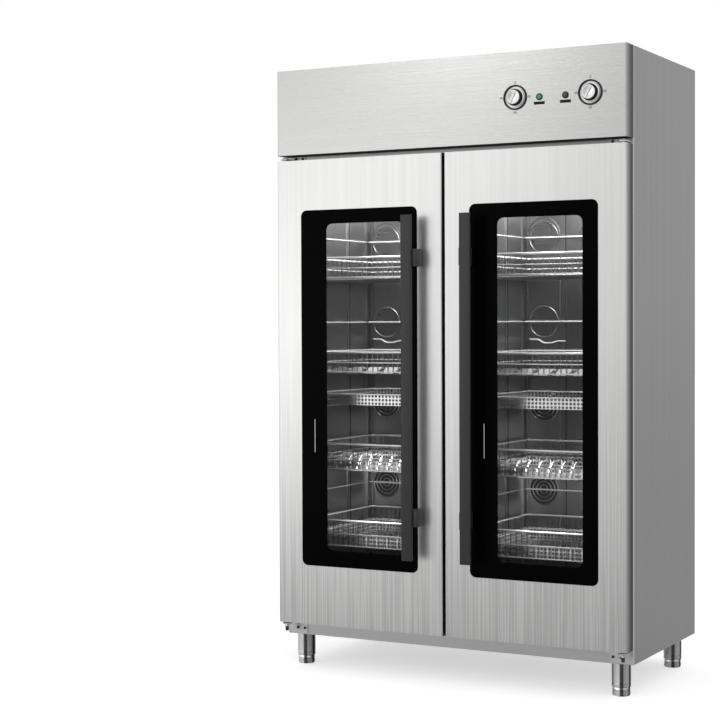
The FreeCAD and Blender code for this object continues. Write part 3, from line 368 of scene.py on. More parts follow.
class Graph:
    """A node tree with short calls for adding nodes."""

    def __init__(self, tree: Tree) -> None:
        """Wrap a tree."""
        self.tree = tree

    def begin(self, kinds: Mapping[str, Kind]) -> Inputs:
        """Give the tree its named inputs, and return their sockets."""
        for label, kind in kinds.items():
            self.tree.interface.new_socket(name=label, in_out="INPUT", socket_type=kind.value)
        return self.add("NodeGroupInput").outputs

    def end(self, kind: Kind, results: Mapping[str, Socket]) -> None:
        """Give the tree its named outputs, all of one kind."""
        for label in results:
            self.tree.interface.new_socket(name=label, in_out="OUTPUT", socket_type=kind.value)
        self.feed(self.add("NodeGroupOutput"), results)

    def feed(self, node: bpy.types.Node, inputs: Mapping) -> None:
        """Join a node's inputs to sockets, or set them to values."""
        for key, value in inputs.items():
            if isinstance(value, bpy.types.NodeSocket):
                self.tree.links.new(value, node.inputs[key])
            else:
                node.inputs[key].default_value = value

    def add(
        self, kind: str, inputs: Optional[Mapping] = None, **settings: object
    ) -> bpy.types.Node:
        """Add a node.

        Args:
            kind: the node's type.
            inputs: sockets or values for its inputs.
            settings: names and values of its properties.

        Returns:
            The new node.
        """
        node = self.tree.nodes.new(kind)
        for name, value in settings.items():
            setattr(node, name, value)
        self.feed(node, inputs or {})
        return node

    def value(
        self, kind: str, inputs: Mapping, output: Union[int, str] = 0, **settings: object
    ) -> Socket:
        """Add a node as in add, and return one of its outputs."""
        return self.add(kind, inputs, **settings).outputs[output]

    def math(self, operation: str, *values: Union[Socket, float]) -> Socket:
        """Add a sum on numbers, and return its result."""
        return self.value("ShaderNodeMath", dict(enumerate(values)), operation=operation)

    def vector_math(
        self, operation: str, *values: Union[Socket, Color], output: str = "Vector"
    ) -> Socket:
        """Add a sum on vectors, and return its result."""
        inputs = dict(enumerate(values))
        return self.value("ShaderNodeVectorMath", inputs, output, operation=operation)

    def part(self, vector: Socket, axis: Axis) -> Socket:
        """Return one part of a vector."""
        return self.value("ShaderNodeSeparateXYZ", {"Vector": vector}, axis.name)

    def spread(
        self, value: Socket, source: Sequence = (0.0, 1.0), target: Sequence = (0.0, 1.0),
        smooth: bool = False
    ) -> Socket:
        """Carry a number from one range to another.

        Args:
            value: the number.
            source: range that it comes from, as sockets or values.
            target: range that it goes to, as sockets or values.
            smooth: whether it eases in and out.

        Returns:
            The new number.
        """
        inputs = {"Value": value, "From Min": source[0], "From Max": source[1]}
        inputs |= {"To Min": target[0], "To Max": target[1]}
        ease = "SMOOTHSTEP" if smooth else "LINEAR"
        return self.value("ShaderNodeMapRange", inputs, interpolation_type=ease)

    def mix(self, kind: str, factor: object, first: object, second: object) -> Socket:
        """Mix two colours (RGBA) or numbers (FLOAT) by a factor."""
        inputs = {"Factor": factor, "A": first, "B": second}
        return self.value("ShaderNodeMix", inputs, "Result", data_type=kind)


class Repeats:
    """Geometry trees for what repeats: grids, rings and rows of bent wire."""

    wire_sides: int = 6

    def __init__(self) -> None:
        """Build each tree once."""
        count, vector, number, shape = Kind.COUNT, Kind.VECTOR, Kind.NUMBER, Kind.SHAPE
        grid = {"Shape": shape, "Columns": count, "Column Step": vector, "Rows": count}
        ring = {"Shape": shape, "Count": count, "Step Angle": number, "Centre": vector}
        wires = {"Line": shape, "Wire Radius": number, "Count": count, "Step": vector}
        self.grid_tree = self._tree("grid_of_copies", grid | {"Row Step": vector}, self._grid)
        self.ring_tree = self._tree("ring_of_copies", ring, self._ring)
        self.wire_tree = self._tree("row_of_wires", wires, self._wires)

    @staticmethod
    def _tree(
        name: str, kinds: dict[str, Kind], build: Callable[[Graph, Inputs], Socket]
    ) -> Tree:
        """Build a tree that makes its copies real and gives them their material.

        Args:
            name: name of the tree.
            kinds: its named inputs, apart from the material.
            build: adds the nodes that make the copies.

        Returns:
            The tree.
        """
        graph = Graph(bpy.data.node_groups.new(name, "GeometryNodeTree"))
        inputs = graph.begin(kinds | {"Material": Kind.FINISH})
        real = graph.value("GeometryNodeRealizeInstances", {"Geometry": build(graph, inputs)})
        painted = {"Geometry": real, "Material": inputs["Material"]}
        graph.end(Kind.GEOMETRY, {"Geometry": graph.value("GeometryNodeSetMaterial", painted)})
        return graph.tree

    @staticmethod
    def _line(graph: Graph, count: Socket, step: Socket) -> Socket:
        """Add a row of points from the origin."""
        return graph.value("GeometryNodeMeshLine", {"Count": count, "Offset": step}, mode="OFFSET")

    @staticmethod
    def _shape(graph: Graph, source: Socket) -> Socket:
        """Fetch the geometry of an object."""
        return graph.value("GeometryNodeObjectInfo", {"Object": source}, "Geometry")

    @staticmethod
    def _copies(graph: Graph, points: Socket, shape: Socket, **more: Socket) -> Socket:
        """Put a copy of a shape on each point."""
        inputs = {"Points": points, "Instance": shape, **more}
        return graph.value("GeometryNodeInstanceOnPoints", inputs)

    def _grid(self, graph: Graph, inputs: Inputs) -> Socket:
        """Repeat a shape in two directions."""
        rows = self._line(graph, inputs["Rows"], inputs["Row Step"])
        columns = self._line(graph, inputs["Columns"], inputs["Column Step"])
        lattice = {"Geometry": self._copies(graph, rows, columns)}
        points = graph.value("GeometryNodeRealizeInstances", lattice)
        return self._copies(graph, points, self._shape(graph, inputs["Shape"]))

    def _ring(self, graph: Graph, inputs: Inputs) -> Socket:
        """Repeat a shape about an axis along Y through a centre."""
        points = graph.value("GeometryNodePoints", {"Count": inputs["Count"]})
        index = graph.value("GeometryNodeInputIndex", {})
        angle = graph.math("MULTIPLY", index, inputs["Step Angle"])
        turn = graph.value("ShaderNodeCombineXYZ", {"Y": angle})
        copies = self._copies(graph, points, self._shape(graph, inputs["Shape"]), Rotation=turn)
        place = {"Geometry": copies, "Translation": inputs["Centre"]}
        return graph.value("GeometryNodeTransform", place)

    def _wires(self, graph: Graph, inputs: Inputs) -> Socket:
        """Give a bent line its round section and repeat it in a row."""
        circle = {"Resolution": self.wire_sides, "Radius": inputs["Wire Radius"]}
        section = graph.value("GeometryNodeCurvePrimitiveCircle", circle)
        line = self._shape(graph, inputs["Line"])
        sweep = {"Curve": line, "Profile Curve": section, "Fill Caps": True}
        wire = graph.value("GeometryNodeCurveToMesh", sweep)
        row = self._line(graph, inputs["Count"], inputs["Step"])
        return self._copies(graph, row, wire)

    @staticmethod
    def _grow(name: str, tree: Tree, source: Object, values: Sequence[object]) -> Object:
        """Run a tree on an empty mesh and keep the result as a plain mesh.

        Args:
            name: name of the piece.
            tree: the geometry tree.
            source: what repeats; it is used up.
            values: the tree's other inputs, in their order.

        Returns:
            The finished object.
        """
        obj = link(name, bpy.data.meshes.new(name))
        modifier = obj.modifiers.new("repeat", "NODES")
        modifier.node_group = tree
        sockets = [item for item in tree.interface.items_tree if item.in_out == "INPUT"]
        for item, value in zip(sockets, (source, *values)):
            modifier[item.identifier] = value
        seen = obj.evaluated_get(bpy.context.evaluated_depsgraph_get())
        mesh = bpy.data.meshes.new_from_object(seen)
        obj.modifiers.remove(modifier)
        obj.data = mesh
        obj.data.name = name
        soften(mesh)
        bpy.data.objects.remove(source)
        return obj

    def grid(self, name: str, shape: Object, columns: Row, rows: Row, material: Material) -> Object:
        """Repeat a shape in columns and rows."""
        return self._grow(name, self.grid_tree, shape, (*columns, *rows, material))

    def ring(
        self, name: str, shape: Object, count: int, centre: Vector, material: Material
    ) -> Object:
        """Repeat a shape, placed as if the centre were the origin, about an axis along Y."""
        values = (count, math.tau / count, centre, material)
        return self._grow(name, self.ring_tree, shape, values)

    def wires(
        self, name: str, path: Sequence[Vector], radius: float, row: Row, material: Material
    ) -> Object:
        """Bend a wire along a path and repeat it in a row."""
        curve = bpy.data.curves.new(name + "_line", "CURVE")
        curve.dimensions = "3D"
        spline = curve.splines.new("POLY")
        spline.points.add(len(path) - 1)
        for point, place in zip(spline.points, path):
            point.co = (*place, 1.0)
        line = link(name + "_line", curve)
        return self._grow(name, self.wire_tree, line, (radius, *row, material))


# ---------------------------------------------------------------- shader groups
class Effects:
    """Shader groups that several finishes share."""

    # Angles, half widths and depths of the painted dark reflection streaks on a drawn tube.
    streak_plan: tuple[tuple[float, float, float], ...] = (
        (-44.0, 9.0, 0.25),
        (22.0, 10.0, 0.95),
        (43.0, 8.0, 0.55),
        (63.0, 7.0, 0.5),
        (82.0, 10.0, 1.0),
        (150.0, 13.0, 0.8),
        (205.0, 16.0, 1.0),
        (275.0, 12.0, 0.7),
    )
    streak_blur: Flat = (8.0, -5.0)
    noise_range: Flat = (0.32, 0.68)
    brush_scales: tuple[str, ...] = ("Hair", "Fine", "Streak")
    # Brush-line range and least share of the painted shade toward a door's foot.
    wear_lines: Flat = (0.62, 0.38)
    wear_least: float = 0.4

    def __init__(self) -> None:
        """Build each group once."""
        number, scale = Kind.NUMBER, {"Scale": Kind.VECTOR}
        scales = {name + " Scale": Kind.VECTOR for name in self.brush_scales}
        reach = {"Start": number, "End": number}
        wear = {"Lines": number, **reach, "Depth": number}
        self.brush = self._group("brush_lines", scales, self._brush)
        self.cloud = self._group("soft_patches", scale, self._cloud)
        self.turned = self._group("turning_rings", {"Rings per Metre": number}, self._turned)
        self.dust = self._group("settled_dust", scale, self._dust)
        self.joint = self._group("joint_soil", reach, self._joint)
        self.wear = self._group("low_wear", wear, self._wear)
        self.streaks = self._group("drawn_streaks", {}, self._streaks)

    @staticmethod
    def _group(
        name: str, kinds: dict[str, Kind], build: Callable[[Graph, Inputs], dict[str, Socket]]
    ) -> Tree:
        """Build a shader group on coordinates.

        Args:
            name: name of the group.
            kinds: its named inputs, apart from the coordinates.
            build: adds its nodes and returns its named results.

        Returns:
            The group.
        """
        graph = Graph(bpy.data.node_groups.new(name, "ShaderNodeTree"))
        inputs = graph.begin({"Coordinates": Kind.VECTOR} | kinds)
        graph.end(Kind.NUMBER, build(graph, inputs))
        return graph.tree

    def _noise(self, graph: Graph, vector: Socket, scale: Socket, detail: float) -> Socket:
        """Add noise on scaled coordinates, spread over the range 0 to 1."""
        stretched = graph.vector_math("MULTIPLY", vector, scale)
        inputs = {"Vector": stretched, "Scale": 1.0, "Detail": detail}
        return graph.spread(graph.value("ShaderNodeTexNoise", inputs), self.noise_range)

    def _brush(self, graph: Graph, inputs: Inputs) -> dict[str, Socket]:
        """Draw brush lines in one direction: hair lines, fine lines and broader streaks."""
        return {
            name: self._noise(graph, inputs["Coordinates"], inputs[name + " Scale"], 2.0)
            for name in self.brush_scales
        }

    def _cloud(self, graph: Graph, inputs: Inputs) -> dict[str, Socket]:
        """Draw soft patches, for wiped surfaces and uneven coats."""
        return {"Patches": self._noise(graph, inputs["Coordinates"], inputs["Scale"], 4.0)}

    def _turned(self, graph: Graph, inputs: Inputs) -> dict[str, Socket]:
        """Draw the rings that a lathe leaves around an axis along Y."""
        flat = graph.vector_math("MULTIPLY", inputs["Coordinates"], (1.0, 0.0, 1.0))
        reach = graph.vector_math("LENGTH", flat, output="Value")
        scaled = graph.math("MULTIPLY", reach, inputs["Rings per Metre"])
        noise = {"W": scaled, "Scale": 1.0}
        return {"Rings": graph.value("ShaderNodeTexNoise", noise, noise_dimensions="1D")}

    def _dust(self, graph: Graph, inputs: Inputs) -> dict[str, Socket]:
        """Mask the faces that look up, broken up by patches."""
        normal = graph.value("ShaderNodeNewGeometry", {}, "Normal")
        facing = graph.math("MAXIMUM", graph.part(normal, Axis.Z), 0.0)
        noise = self._noise(graph, inputs["Coordinates"], inputs["Scale"], 5.0)
        return {"Dust": graph.math("MULTIPLY", facing, noise)}

    def _joint(self, graph: Graph, inputs: Inputs) -> dict[str, Socket]:
        """Mask faces turned to either side, more and more along Y: painted shade of the gap behind
        them.
        """
        normal = graph.value("ShaderNodeNewGeometry", {}, "Normal")
        sideways = graph.math("ABSOLUTE", graph.part(normal, Axis.X))
        place = graph.part(inputs["Coordinates"], Axis.Y)
        depth = graph.spread(place, (inputs["Start"], inputs["End"]), smooth=True)
        return {"Soil": graph.math("MULTIPLY", sideways, depth)}

    def _wear(self, graph: Graph, inputs: Inputs) -> dict[str, Socket]:
        """Paint shade that grows toward the foot of a door, broken up along the darker brush lines.
        """
        place = graph.part(inputs["Coordinates"], Axis.Z)
        height = graph.spread(place, (inputs["Start"], inputs["End"]), (0.0, inputs["Depth"]))
        lines = graph.spread(inputs["Lines"], self.wear_lines, (self.wear_least, 1.0), True)
        return {"Wear": graph.math("MULTIPLY", height, lines)}

    def _streaks(self, graph: Graph, inputs: Inputs) -> dict[str, Socket]:
        """Paint the upright dark reflection streaks of a drawn tube, each at a fixed angle around
        it.
        """
        flat = graph.vector_math("MULTIPLY", inputs["Coordinates"], (1.0, 1.0, 0.0))
        around = graph.vector_math("NORMALIZE", flat)
        darkest: Optional[Socket] = None
        for degrees, half_width, depth in self.streak_plan:
            angle = math.radians(degrees)
            direction = (math.sin(angle), -math.cos(angle), 0.0)
            toward = graph.vector_math("DOT_PRODUCT", around, direction, output="Value")
            edges = [math.cos(math.radians(half_width + blur)) for blur in self.streak_blur]
            streak = graph.spread(toward, edges, (0.0, depth), True)
            darkest = graph.math("MAXIMUM", darkest, streak) if darkest else streak
        return {"Streaks": darkest}


# ---------------------------------------------------------------- finishes
class Grain(Enum):
    """Which way brush lines run, as the stretch of their pattern along X, Y and Z."""

    UPRIGHT = (1.0, 1.0, 0.006)
    ACROSS = (0.006, 1.0, 1.0)
    DEEP = (1.0, 0.006, 1.0)

    def scale(self, lines: float) -> Color:
        """Return the pattern's scale for so many lines a metre."""
        return tuple(lines * stretch for stretch in self.value)


def shade(color: Color, factor: float) -> Color:
    """Return a colour made darker or lighter by a factor, up to white."""
    return tuple(min(1.0, channel * factor) for channel in color)


def grey(level: float) -> Color:
    """Return a neutral grey, or a scale that is the same in all directions."""
    return (level, level, level)


class Surface:
    """One material under construction: a Principled shader and its Object coordinates."""

    def __init__(self, name: str, **constants: object) -> None:
        """Start the material.

        Args:
            name: name of the material.
            constants: values of the shader's sockets; underscores stand for spaces.
        """
        self.material = bpy.data.materials.new(name)
        self.material.use_nodes = True
        self.graph = Graph(self.material.node_tree)
        self.shader = self.material.node_tree.nodes["Principled BSDF"]
        self.coordinates = self.graph.value("ShaderNodeTexCoord", {}, "Object")
        self.feed(**constants)

    def feed(self, **values: object) -> None:
        """Join or set sockets of the shader; underscores stand for spaces."""
        named = {name.replace("_", " "): value for name, value in values.items()}
        self.graph.feed(self.shader, named)

    def effect(self, tree: Tree, **values: object) -> Inputs:
        """Place a shader group on the surface's coordinates.

        Args:
            tree: the group.
            values: sockets or values for its inputs; underscores stand for spaces.

        Returns:
            The group's outputs.
        """
        inputs = {name.replace("_", " "): value for name, value in values.items()}
        inputs["Coordinates"] = self.coordinates
        return self.graph.add("ShaderNodeGroup", inputs, node_tree=tree).outputs

    def centre(self, place: Point) -> None:
        """Move the coordinates' origin to a point of the piece."""
        inputs = {"Vector": self.coordinates, "Location": [-value for value in place]}
        self.coordinates = self.graph.value("ShaderNodeMapping", inputs, vector_type="POINT")

    def tint(self, mask: Socket, low: Union[Color, Socket], high: Color) -> Socket:
        """Vary the base colour with a mask.

        Args:
            mask: number from 0 to 1.
            low: colour at 0, or the colours that lie under it.
            high: colour at 1.

        Returns:
            The mixed colour, which already feeds the base colour.
        """
        under = low if isinstance(low, bpy.types.NodeSocket) else (*low, 1.0)
        mixed = self.graph.mix("RGBA", mask, under, (*high, 1.0))
        self.feed(Base_Color=mixed)
        return mixed

    def gloss(self, mask: Socket, low: float, high: float) -> None:
        """Vary the roughness between two values with a mask."""
        self.feed(Roughness=self.graph.spread(mask, target=(low, high)))

    def relief(self, height: Socket, depth: float) -> None:
        """Give the surface a bump of a depth in metres."""
        inputs = {"Height": height, "Distance": depth, "Strength": 1.0}
        self.feed(Normal=self.graph.value("ShaderNodeBump", inputs))


@dataclass(frozen=True)
class BrushedSteel:
    """Stainless sheet with brush lines and broader streaks."""

    name: str
    color: Color
    grain: Grain
    roughness: float = 0.33
    contrast: float = 0.05
    streak_share: float = 0.5
    hair_share: float = 0.25
    hair_lines: float = 1100.0
    fine_lines: float = 260.0
    streak_lines: float = 60.0
    spread: float = 0.05
    depth: float = 0.00002
    # Reach along Y of an optional painted shade on faces turned sideways, toward the gap behind
    # them.
    joint: Optional[Flat] = None
    joint_color: Color = grey(0.015)
    # Depth of an optional painted shade that darkens the sheet toward its foot, along the brush
    # lines.
    wear: float = 0.0
    wear_color: Color = grey(0.2)
    wear_reach: Flat = (1.15, 0.1)

    def material(self, effects: Effects) -> Material:
        """Build the material."""
        surface = Surface(self.name, Metallic=1.0)
        lines = surface.effect(
            effects.brush,
            Hair_Scale=self.grain.scale(self.hair_lines),
            Fine_Scale=self.grain.scale(self.fine_lines),
            Streak_Scale=self.grain.scale(self.streak_lines),
        )
        tone = surface.graph.mix("FLOAT", self.streak_share, lines["Fine"], lines["Streak"])
        tone = surface.graph.mix("FLOAT", self.hair_share, tone, lines["Hair"])
        low, high = shade(self.color, 1 - self.contrast), shade(self.color, 1 + self.contrast)
        mixed = surface.tint(tone, low, high)
        # Painted shade toward the foot of the sheet.
        if self.wear:
            start, end = self.wear_reach
            low_shaded = surface.effect(
                effects.wear, Lines=lines["Fine"], Start=start, End=end, Depth=self.wear
            )
            mixed = surface.tint(low_shaded["Wear"], mixed, self.wear_color)
        # Painted shade on the sideways faces, darkest toward the gap behind them.
        if self.joint:
            side_shade_mask = surface.effect(effects.joint, Start=self.joint[0], End=self.joint[1])
            surface.tint(side_shade_mask["Soil"], mixed, self.joint_color)
        surface.gloss(lines["Hair"], self.roughness - self.spread, self.roughness + self.spread)
        surface.relief(lines["Hair"], self.depth)
        return surface.material


@dataclass(frozen=True)
class RoundMetal:
    """Metal worked around an axis: rings of the lathe, or painted reflection streaks along a drawn
    tube.
    """

    name: str
    centre: Color
    tones: tuple[Color, Color]
    gloss: Flat
    rings: float = 0.0
    depth: float = 0.00002

    def material(self, effects: Effects) -> Material:
        """Build the material."""
        surface = Surface(self.name, Metallic=1.0)
        surface.centre(self.centre)
        if self.rings:
            mask = surface.effect(effects.turned, Rings_per_Metre=self.rings)["Rings"]
            surface.relief(mask, self.depth)
        else:
            # Painted dark reflection streaks, with a painted highlight between them.
            mask = surface.effect(effects.streaks)["Streaks"]
        surface.tint(mask, *self.tones)
        surface.gloss(mask, *self.gloss)
        return surface.material


@dataclass(frozen=True)
class Mottled:
    """Material that soft patches vary: plain metal, paint, plastic, wool, glass or a lens."""

    name: str
    color: Color
    gloss: Flat
    shades: Flat
    scale: Color
    depth: Optional[float] = None
    dust: Optional[Color] = None
    opacity: Optional[Flat] = None
    glass_index: float = 1.3
    constants: Mapping[str, object] = field(default_factory=dict)

    def material(self, effects: Effects) -> Material:
        """Build the material."""
        surface = Surface(self.name, **self.constants)
        patches = surface.effect(effects.cloud, Scale=self.scale)["Patches"]
        mask = surface.effect(effects.dust, Scale=self.dust)["Dust"] if self.dust else patches
        surface.tint(mask, shade(self.color, self.shades[0]), shade(self.color, self.shades[1]))
        surface.gloss(patches, *self.gloss)
        if self.depth is not None:
            surface.relief(patches, self.depth)
        if self.opacity:
            rim = surface.graph.value("ShaderNodeFresnel", {"IOR": self.glass_index})
            surface.feed(Alpha=surface.graph.spread(rim, target=self.opacity))
        return surface.material


Finish = Union[BrushedSteel, RoundMetal, Mottled]


def plain_metal(name: str, color: Color, roughness: float, metallic: float = 1.0) -> Mottled:
    """Return chrome, zinc plate or dull metal, slightly uneven."""
    gloss, constants = (roughness, roughness + 0.05), {"Metallic": metallic}
    return Mottled(name, color, gloss, (0.94, 1.0), grey(60.0), constants=constants)


def powder_coat(name: str, color: Color) -> Mottled:
    """Return painted metal with a fine orange peel and a little settled dust."""
    gloss, constants = (0.36, 0.48), {"Specular_IOR_Level": 0.4}
    return Mottled(
        name, color, gloss, (1.0, 1.5), grey(1400.0), 0.00004, grey(90.0), constants=constants
    )


def plastic(
    name: str, color: Color, roughness: float = 0.45, specular: float = 0.5, depth: float = 0.00002
) -> Mottled:
    """Return moulded plastic, rubber or print, with a faint texture of a depth."""
    gloss, constants = (roughness - 0.04, roughness + 0.04), {"Specular_IOR_Level": specular}
    return Mottled(name, color, gloss, (0.9, 1.1), grey(900.0), depth, constants=constants)


def lens(name: str, color: Color, glow: float = 0.0) -> Mottled:
    """Return a coloured lamp lens, deep and glossy."""
    constants = {"Coat_Weight": 1.0, "Coat_Roughness": 0.04}
    constants |= {"Emission_Color": (*color, 1.0), "Emission_Strength": glow}
    return Mottled(name, color, (0.12, 0.25), (0.6, 1.4), grey(500.0), constants=constants)


STEEL: Color = (0.66, 0.66, 0.655)
# Reach along Y of the painted shade on the sideways faces of the fascia and doors.
SIDE_SHADE_REACH: Flat = (-0.33, -0.267)


class Look:
    """Every finish of the cabinet, apart from those around an axis of their own."""

    FASCIA = BrushedSteel(
        "fascia_steel", (0.5, 0.5, 0.495), Grain.ACROSS, 0.28, contrast=0.03, joint=SIDE_SHADE_REACH
    )
    # Side steel darker than the top and back sheets, as painted shade of the sides turned from the
    # light.
    SIDE = BrushedSteel("side_steel", (0.37, 0.37, 0.375), Grain.UPRIGHT, 0.4, contrast=0.08)
    TOP = BrushedSteel("top_steel", STEEL, Grain.ACROSS, 0.4)
    BACK = BrushedSteel("back_steel", STEEL, Grain.UPRIGHT, 0.42)
    RAIL = BrushedSteel("rail_steel", grey(0.46), Grain.ACROSS)
    # Steel darker than the outer sheets, as painted shade of the gaps and recesses where it shows.
    FRAME = BrushedSteel("frame_steel", grey(0.4), Grain.UPRIGHT)
    # The doors take painted shade toward their foot and on their sideways faces.
    DOOR = BrushedSteel(
        "door_steel", (0.64, 0.64, 0.635), Grain.UPRIGHT, contrast=0.07, joint=SIDE_SHADE_REACH, wear=0.42
    )
    LINER = BrushedSteel("liner_steel", (0.3, 0.3, 0.303), Grain.UPRIGHT, 0.36, streak_lines=18.0)
    DUCT = BrushedSteel("duct_steel", (0.27, 0.27, 0.273), Grain.UPRIGHT, 0.32, streak_lines=14.0)
    RACK = BrushedSteel("rack_steel", grey(0.3), Grain.UPRIGHT)
    TRAY = BrushedSteel("tray_steel", grey(0.8), Grain.DEEP, 0.28)
    WIRE = plain_metal("chrome_wire", grey(0.95), 0.22, 0.4)
    # A darker copy of the chrome wire, as painted shade on the baskets' bent wires beside their
    # bright rims; the outlet guards use it too.
    MESH_WIRE = plain_metal("mesh_wire", grey(0.3), 0.3)
    ZINC = plain_metal("zinc_plate", (0.55, 0.55, 0.56), 0.35)
    SCREW = plain_metal("screw_steel", grey(0.5), 0.25)
    # Dark metal for the bracket screws; on the knob's band and knurls its darkness is a painted
    # reflection of dark surroundings.
    DARK_SCREW = plain_metal("dark_screw", grey(0.05), 0.3)
    SHEATH = plain_metal("heater_sheath", (0.22, 0.2, 0.18), 0.45)
    # Pale bead on the side panel's front edge: its paleness is a painted highlight of the folded
    # edge.
    BEAD = plastic("pale_bead", grey(0.6), 0.5)
    HANDLE = powder_coat("charcoal_coat", (0.022, 0.022, 0.024))
    BRACKET = powder_coat("bracket_coat", (0.035, 0.035, 0.037))
    BLACK = plastic("black_plastic", grey(0.012), specular=0.3)
    PRINT = plastic("black_print", grey(0.0008), 0.3, 0.02, 0.0)
    LINE = plastic("white_print", grey(0.8), specular=0.2, depth=0.0)
    INK = plastic("black_ink", grey(0.02), specular=0.1, depth=0.0)
    RUBBER = plastic("gasket_rubber", grey(0.03), 0.7)
    TERMINAL = plastic("terminal_plastic", (0.75, 0.74, 0.7))
    PANE = Mottled(
        "clear_pane",
        (0.02, 0.024, 0.024),
        (0.02, 0.07),
        (1.0, 1.3),
        (9.0, 9.0, 4.0),
        opacity=(0.05, 0.45),
        constants={"Metallic": 0.0, "Transmission_Weight": 0.0},
    )
    GREEN = lens("green_lens", (0.01, 0.22, 0.12), 0.15)
    RED = lens("red_lens", (0.03, 0.008, 0.008))
    WOOL = Mottled(
        "mineral_wool",
        (0.62, 0.56, 0.42),
        (0.85, 0.98),
        (0.75, 1.1),
        (300.0, 300.0, 900.0),
        0.0006,
        constants={"Specular_IOR_Level": 0.1},
    )


@dataclass
class Workshop:
    """What every sub-assembly works with: finishes, repeats and the count of its pieces."""

    effects: Effects
    repeats: Repeats
    made: int = 0
    painted: dict[str, Material] = field(default_factory=dict)

    def material(self, finish: Finish) -> Material:
        """Return a finish's material, which is built at its first use."""
        if finish.name not in self.painted:
            self.painted[finish.name] = finish.material(self.effects)
        return self.painted[finish.name]

    def dress(self, plan: Mapping[str, Finish]) -> None:
        """Give CAD nodes their finishes."""
        for node, finish in plan.items():
            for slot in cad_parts[node].material_slots:
                slot.material = self.material(finish)
            LOG.info("dressed %s with %s", node, finish.name)

    def fit(self, piece: Object, body: str, slot: str, *nodes: str) -> None:
        """Put a finished piece on its body.

        Args:
            piece: the piece, in its place.
            body: the body that it moves with.
            slot: the record's material slot; it is not used.
            nodes: CAD nodes that it stands for.
        """
        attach(piece, body)
        if nodes:
            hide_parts(*nodes)
        self.made += 1
        LOG.info("made %s, %d faces, on %s", piece.name, len(piece.data.polygons), body)

    def make(
        self, mould: Mould, name: str, finish: Finish, body: str, slot: str, *nodes: str,
        shut: bool = True
    ) -> None:
        """Turn a mould's faces into a piece and put it on its body.

        Args:
            mould: its faces.
            name: its name.
            finish: its finish.
            body: the body that it moves with.
            slot: the record's material slot.
            nodes: CAD nodes that it stands for.
            shut: whether the faces close.
        """
        self.fit(mould.piece(name, self.material(finish), shut), body, slot, *nodes)

    def repeat(
        self, mould: Mould, name: str, finish: Finish, body: str, slot: str, columns: Row,
        rows: Row = ONE, shut: bool = True
    ) -> None:
        """Repeat a mould's faces in columns and rows, and put the result on its body.

        Args:
            mould: the faces at their first place.
            name: name of the piece.
            finish: its finish.
            body: the body that it moves with.
            slot: the record's material slot.
            columns: count and step of the first direction.
            rows: count and step of the second direction.
            shut: whether the faces close.
        """
        material = self.material(finish)
        shape = mould.piece(name + "_shape", material, shut)
        self.fit(self.repeats.grid(name, shape, columns, rows, material), body, slot)

    def around(
        self, mould: Mould, name: str, finish: Finish, body: str, slot: str, count: int,
        centre: Vector
    ) -> None:
        """Repeat a mould's faces about an axis along Y, and put the result on its body.

        Args:
            mould: the faces, placed as if the centre were the origin.
            name: name of the piece.
            finish: its finish.
            body: the body that it moves with.
            slot: the record's material slot.
            count: number of copies.
            centre: a point on the axis.
        """
        material = self.material(finish)
        shape = mould.piece(name + "_shape", material)
        self.fit(self.repeats.ring(name, shape, count, centre, material), body, slot)

    def wires(
        self, name: str, finish: Finish, body: str, path: Sequence[Vector], radius: float, row: Row
    ) -> None:
        """Bend a wire along a path, repeat it in a row and put the result on its body."""
        piece = self.repeats.wires(name, path, radius, row, self.material(finish))
        self.fit(piece, body, "chrome_wire")

    def sheet(
        self, name: str, finish: Finish, body: str, corner: Point, sides: Box,
        counts: Sequence[int], hole: Flat, thickness: Vector
    ) -> None:
        """Make a flat perforated sheet from equal cells.

        Args:
            name: name of the piece.
            finish: its finish.
            body: the body that it moves with.
            corner: the sheet's first corner.
            sides: its two sides.
            counts: cells along either side.
            hole: half the size of a hole along either side.
            thickness: vector from one face to the other.
        """
        rows = [(count, side / count) for side, count in zip(sides, counts)]
        mould = Mould()
        mould.cell(corner, rows[0][1], rows[1][1], hole, thickness)
        self.repeat(mould, name, finish, body, "plain_steel", *rows, shut=False)


def hoop(box: Box, inset: float, height: float, bend: float) -> list[Vector]:
    """Return a level loop with round corners inside a box."""
    return bent(Axis.Z.place(Axis.Z.corners(box, inset), height), bend, True)


